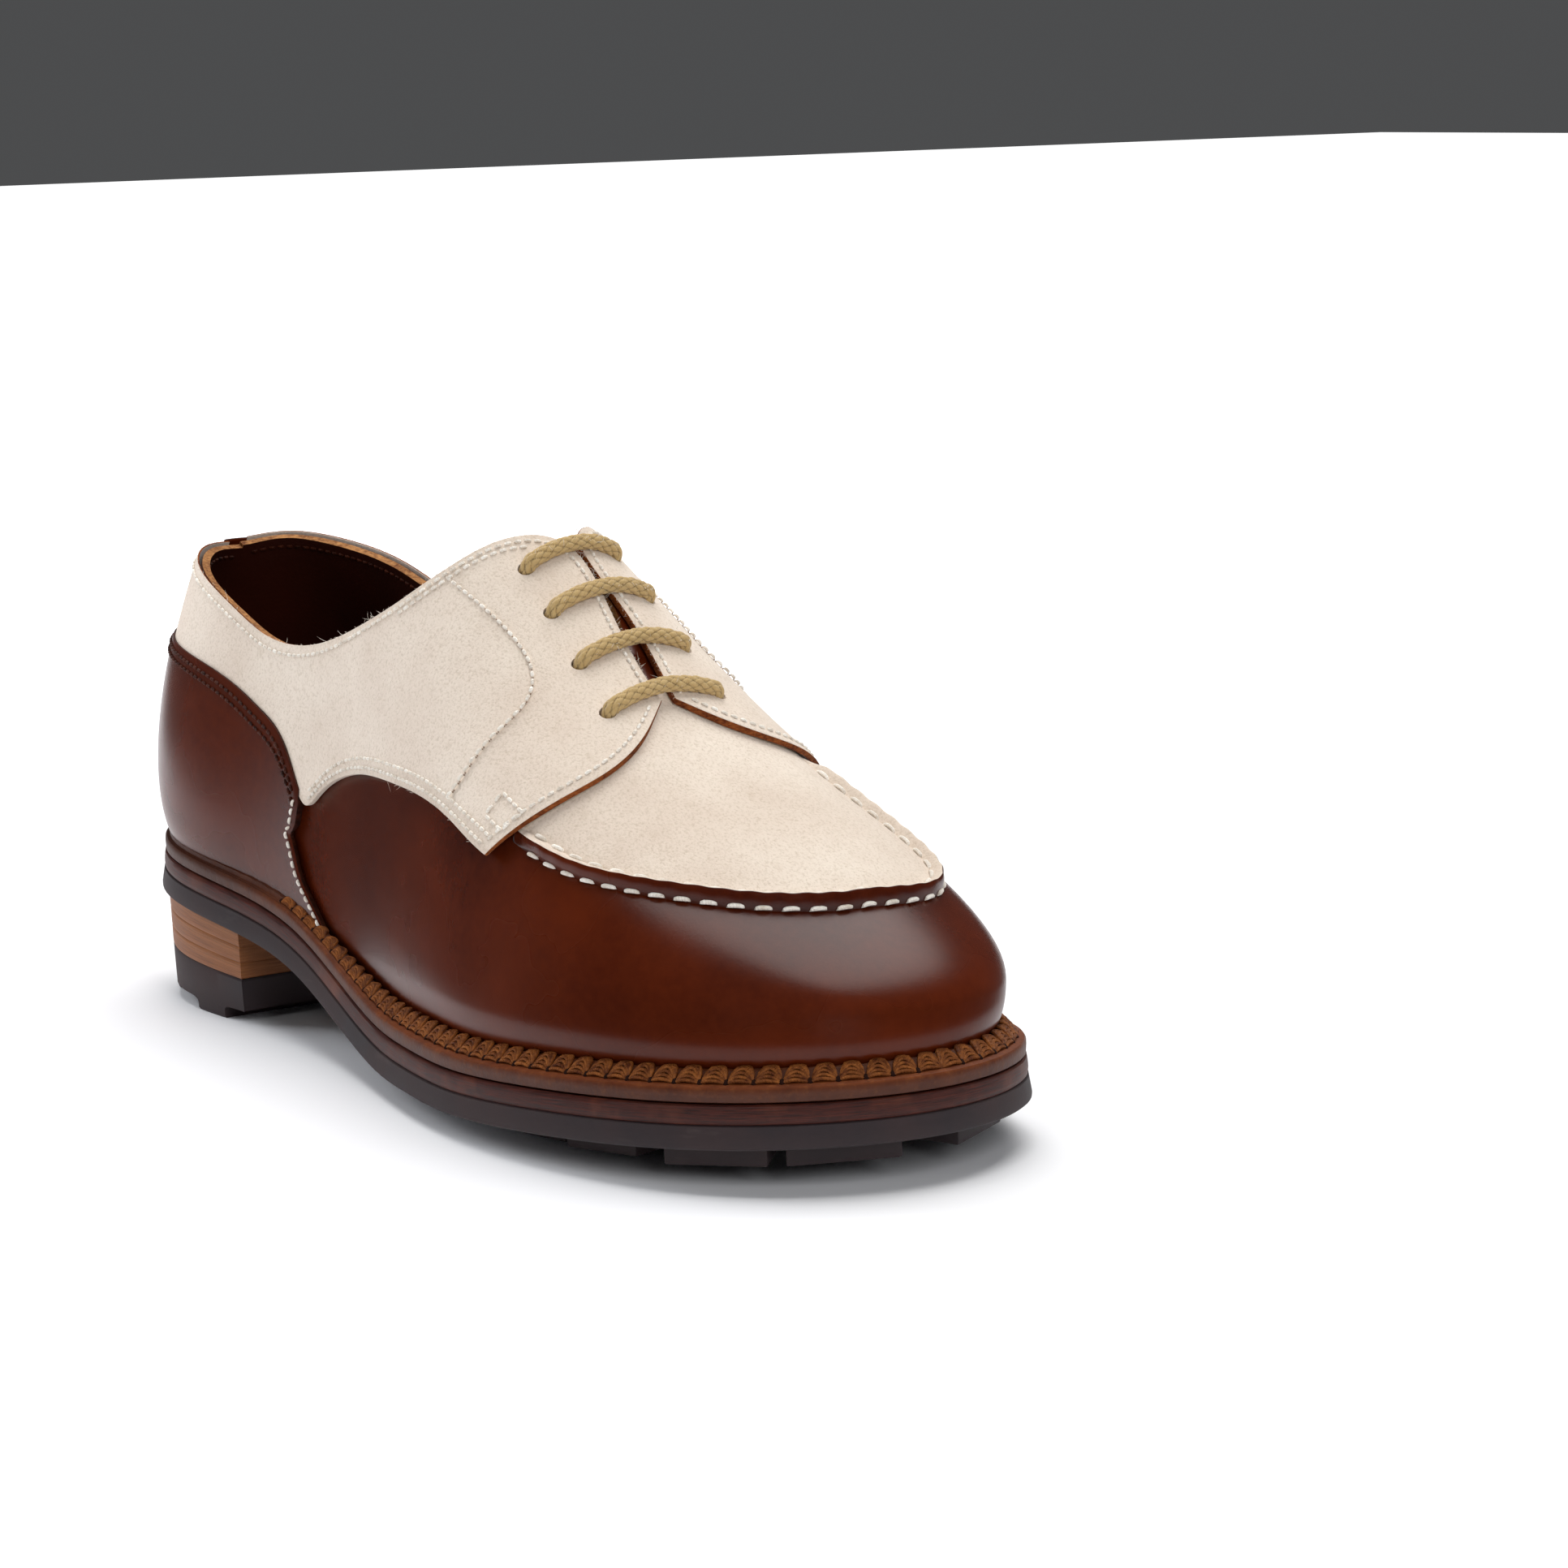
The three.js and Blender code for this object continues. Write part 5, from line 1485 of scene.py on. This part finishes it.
class SHOE_OT_stitches(ShoeOperator, bpy.types.Operator):
    """Fine rows of stitches on the quarters, the counter and the lining"""

    bl_idname = "shoe.stitches"
    bl_label = "Fine stitches"

    def inset_row(self, side, edge, start, end, inset, offset=None):
        """A row a given distance inside an edge of the quarter; edge is collar, foot or front."""
        t = np.linspace(start, end, 400)
        if edge == "front":
            s, r, ds, dr = np.ones(400), t, -0.01, 0.0
        else:
            s, r, ds, dr = t, np.full(400, 1.0 if edge == "collar" else 0.0), 0.0, 0.01
            dr = -dr if edge == "collar" else dr
        first = skin(side, *quarter_place(side, s, r), 1.5)
        second = skin(side, *quarter_place(side, s + ds, r + dr), 1.5)
        share = inset / np.maximum(np.linalg.norm(second - first, axis=-1), 1e-6)
        s, r = s + ds * share, r + dr * share
        along, up = quarter_place(side, s, r)
        lift = quarter_lift(self.sizes, s, r) if offset is None else np.full(400, offset)
        return skin(side, along, up, lift), last_normal(side, along, up) * (1 if offset is None else -1)

    def build(self, finishes):
        pitch, radius = self.sizes.stitch_pitch / MM, self.sizes.stitch_radius / MM
        pale, dark, inside = [], [], []
        for side in (LATERAL, MEDIAL):
            pale.append(self.inset_row(side, "collar", 0.03, 0.985, 2.6))
            pale.append(self.inset_row(side, "collar", 0.55, 0.73, 4.8))
            pale.append(self.inset_row(side, "front", 0.05, 0.94, 2.8))
            pale.append(self.inset_row(side, "foot", 0.42, 0.97, 1.7))
            pale.append(self.inset_row(side, "foot", 0.42, 0.97, 4.0))
            pale.append(self.facing_row(side))
            pale.extend(self.bar_tack(side))
            inside.append(self.inset_row(side, "collar", 0.0, 0.74, 2.8, -UPPER_WALL - 0.02))
            for drop in (0.013, 0.028):
                dark.append(self.counter_row(side, drop))
            pale.append(self.waist_row(side))
        for name, rows, finish, pit, slot in (
            ("pale_stitches", pale, "pale_thread", "suede_pit", "thread"),
            ("dark_stitches", dark, "dark_thread", "pit", "thread"),
            ("lining_stitches", inside, "dark_thread", "pit", "thread"),
        ):
            paths, facings = zip(*(stitch_paths(line, normal, pitch, 0.78) for line, normal in rows))
            paths, facings = np.concatenate(paths), np.concatenate(facings)
            settle(strands(name, paths, radius, finishes[finish], 6, 0.9, facings), slot)
            # Short dark rods at both ends of every stitch: painted shade in the needle holes.
            ends = np.concatenate([paths[:, [0]], paths[:, [-1]]])
            lift = np.concatenate([facings[:, [0]], facings[:, [-1]]])
            depth = np.linspace(-0.5, 0.30, 4)[None, :, None]
            holes = strands(name.replace("stitches", "holes"), ends + lift * depth, 0.20, finishes[pit], 6, 1.0,
                            np.broadcast_to([1.0, 0.0, 0.0], (len(ends), 4, 3)))
            settle(holes, slot)

    def facing_row(self, side):
        t = np.linspace(0, 1, 200)
        knots = np.linspace(0, 1, len(FACING_ROW["along"]))
        along, up = curve(knots, FACING_ROW["along"])(t), curve(knots, FACING_ROW["up"])(t)
        lift = self.sizes.quarter_thick / MM + self.sizes.front_thick / MM * smooth(along, 0.50, 0.66)
        return skin(side, along, up, lift), last_normal(side, along, up)

    def bar_tack(self, side):
        """A small rectangle of stitches near the quarter's front corner."""
        corners = [(0.925, 0.115), (0.984, 0.115), (0.984, 0.225), (0.925, 0.225), (0.925, 0.115)]
        rows = []
        for (s0, r0), (s1, r1) in zip(corners, corners[1:]):
            s, r = mix(s0, s1, steps(30)), mix(r0, r1, steps(30))
            along, up = quarter_place(side, s, r)
            rows.append((skin(side, along, up, quarter_lift(self.sizes, s, r)), last_normal(side, along, up)))
        return rows

    def counter_row(self, side, drop):
        along = np.linspace(0.0, 0.322, 300)
        up = counter_top(along) - drop
        return skin(side, along, up, self.sizes.counter_thick / MM), last_normal(side, along, up)

    def waist_row(self, side):
        up = np.linspace(1.04, 0.12, 200)
        along = seam_along(up) - 0.006
        return skin(side, along, up, self.sizes.counter_thick / MM), last_normal(side, along, up)


class SHOE_OT_laces(ShoeOperator, bpy.types.Operator):
    """Four straight bars of braided lace, each through its pair of eyelets"""

    bl_idname = "shoe.laces"
    bl_label = "Laces"

    def build(self, finishes):
        radius = self.sizes.lace_diameter / MM / 2
        for number, along in enumerate(EYELET_ALONG):
            path = self.path(along, radius)
            form = Form()
            self.braid(form, path, radius * 0.93)
            piece = form.make(f"lace_{number + 1}", [finishes["lace"]])
            settle(piece, "lace_cord", f"lace_bar_{number + 1}")

    def path(self, along, radius):
        """Up through one eyelet, across the slit and down through the other."""
        face = self.sizes.quarter_thick / MM + self.sizes.front_thick / MM * smooth(along, 0.50, 0.66)
        rest = face + radius * 0.75
        rows = [(EYELET_UP, -4.5), (EYELET_UP, -2.0), (EYELET_UP + 0.002, 0.6), (EYELET_UP + 0.018, face + 0.9),
                (EYELET_UP + 0.045, rest * 0.93), (EYELET_UP + 0.08, rest), (1.95, rest + 0.1), (2.0, rest + 0.1)]
        rows = rows + [(4 - up, lift) for up, lift in rows[-2::-1]]
        knots = np.array([skin(LATERAL, along, up, lift) for up, lift in rows])
        run = np.concatenate([[0], np.cumsum(np.linalg.norm(np.diff(knots, axis=0), axis=-1))])
        fine = np.linspace(0, run[-1], 220)
        return np.stack([curve(run, knots[:, k])(fine) for k in range(3)], -1)

    def braid(self, form, path, radius):
        """A tube whose surface rises and falls over crossing strands."""
        tangent = unit(np.gradient(path, axis=0))
        forward = np.tile([1.0, 0.0, 0.0], (len(path), 1))
        cross = unit(forward - tangent * (forward * tangent).sum(-1, keepdims=True))
        lift = np.cross(tangent, cross)
        run = np.concatenate([[0], np.cumsum(np.linalg.norm(np.diff(path, axis=0), axis=-1))])
        turn = np.linspace(0, 2 * np.pi, 49)
        wind = run[:, None] * 2 * np.pi / 9.6
        one = 3 * turn[None] + 1.5 * wind
        other = 3 * turn[None] - 1.5 * wind
        over = (np.sin(one) * np.sin(other)) > 0
        strand = np.where(over, np.abs(np.sin(one)), np.abs(np.sin(other)))
        width = np.where(over, np.abs(np.sin(other)), np.abs(np.sin(one)))
        relief = np.clip(strand, 0, 1) ** 0.6 * (0.55 + 0.45 * width ** 0.5)
        reach = radius * (0.80 + 0.26 * relief)
        ring = cross[:, None] * np.cos(turn)[None, :, None] + lift[:, None] * np.sin(turn)[None, :, None]
        points = path[:, None] + ring * reach[..., None]
        place = np.stack(np.meshgrid(run, turn / 10, indexing="ij"), -1) * MM
        # The strand height also goes into the shade value: painted shade in the grooves between strands.
        form.grid(points, flip=True, place=place, shade=relief)
        for end, flip in ((0, False), (-1, True)):
            tip = np.stack([points[end], np.broadcast_to(path[end], points[end].shape)], 1)
            form.grid(tip, flip=flip, shade=0.2)


class SHOE_OT_fuzz(ShoeOperator, bpy.types.Operator):
    """Loose fibres on the suede's edges and on the laces"""

    bl_idname = "shoe.fuzz"
    bl_label = "Loose fibres"

    def build(self, finishes):
        random = np.random.default_rng(7)
        roots, ups = [], []
        for side in (LATERAL, MEDIAL):
            for low, high, number, edge in ((0.02, 0.75, 260, 1.0), (0.75, 1.0, 190, 1.0), (0.44, 1.0, 24, 0.0)):
                s, r = random.uniform(low, high, number), np.full(number, edge)
                along, up = quarter_place(side, s, r)
                roots.append(skin(side, along, up, quarter_lift(self.sizes, s, r) - 0.3))
                ups.append(last_normal(side, along, up))
        for along in EYELET_ALONG:
            up = random.uniform(1.84, 2.16, 60)
            roots.append(skin(LATERAL, along + random.uniform(-0.005, 0.005, 60), up, 5.0))
            ups.append(last_normal(LATERAL, np.full(60, along), up))
        roots, ups = np.concatenate(roots), np.concatenate(ups)
        number = len(roots)
        drift = unit(ups + random.normal(0, 0.7, (number, 3)))
        curl = random.normal(0, 0.5, (number, 3))
        reach = random.gamma(2.0, 0.33, number)[:, None, None]
        t = np.linspace(0, 1, 5)[None, :, None]
        paths = roots[:, None] + reach * (drift[:, None] * t + curl[:, None] * t ** 2)
        piece = strands("loose_fibres", paths, 0.045, finishes["pale_thread"], 3)
        settle(piece, "suede")


PARTS = (
    SHOE_OT_stage, SHOE_OT_bottom, SHOE_OT_heel, SHOE_OT_welt, SHOE_OT_vamp, SHOE_OT_quarters, SHOE_OT_counter,
    SHOE_OT_apron, SHOE_OT_tongue, SHOE_OT_stitches, SHOE_OT_laces, SHOE_OT_fuzz,
)


class SHOE_PT_panel(bpy.types.Panel):
    """Buttons for the parts of the shoe"""

    bl_idname = "SHOE_PT_panel"
    bl_label = "Derby shoe"
    bl_space_type = "VIEW_3D"
    bl_region_type = "UI"
    bl_category = "Shoe"

    def draw(self, context):
        for part in PARTS:
            self.layout.operator(part.bl_idname)


CLASSES = (ShoeSizes, ShoeColours, *PARTS, SHOE_PT_panel)


def register():
    for cls in CLASSES:
        bpy.utils.register_class(cls)
    bpy.types.Scene.shoe_sizes = bpy.props.PointerProperty(type=ShoeSizes)
    bpy.types.Scene.shoe_colours = bpy.props.PointerProperty(type=ShoeColours)


def unregister():
    del bpy.types.Scene.shoe_colours
    del bpy.types.Scene.shoe_sizes
    for cls in reversed(CLASSES):
        bpy.utils.unregister_class(cls)


def build_shoe():
    """Builds every part in order."""
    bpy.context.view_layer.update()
    register()
    for part in PARTS:
        area, name = part.bl_idname.split(".")
        getattr(getattr(bpy.ops, area), name)()


if __name__ == "__main__":
    build_shoe()
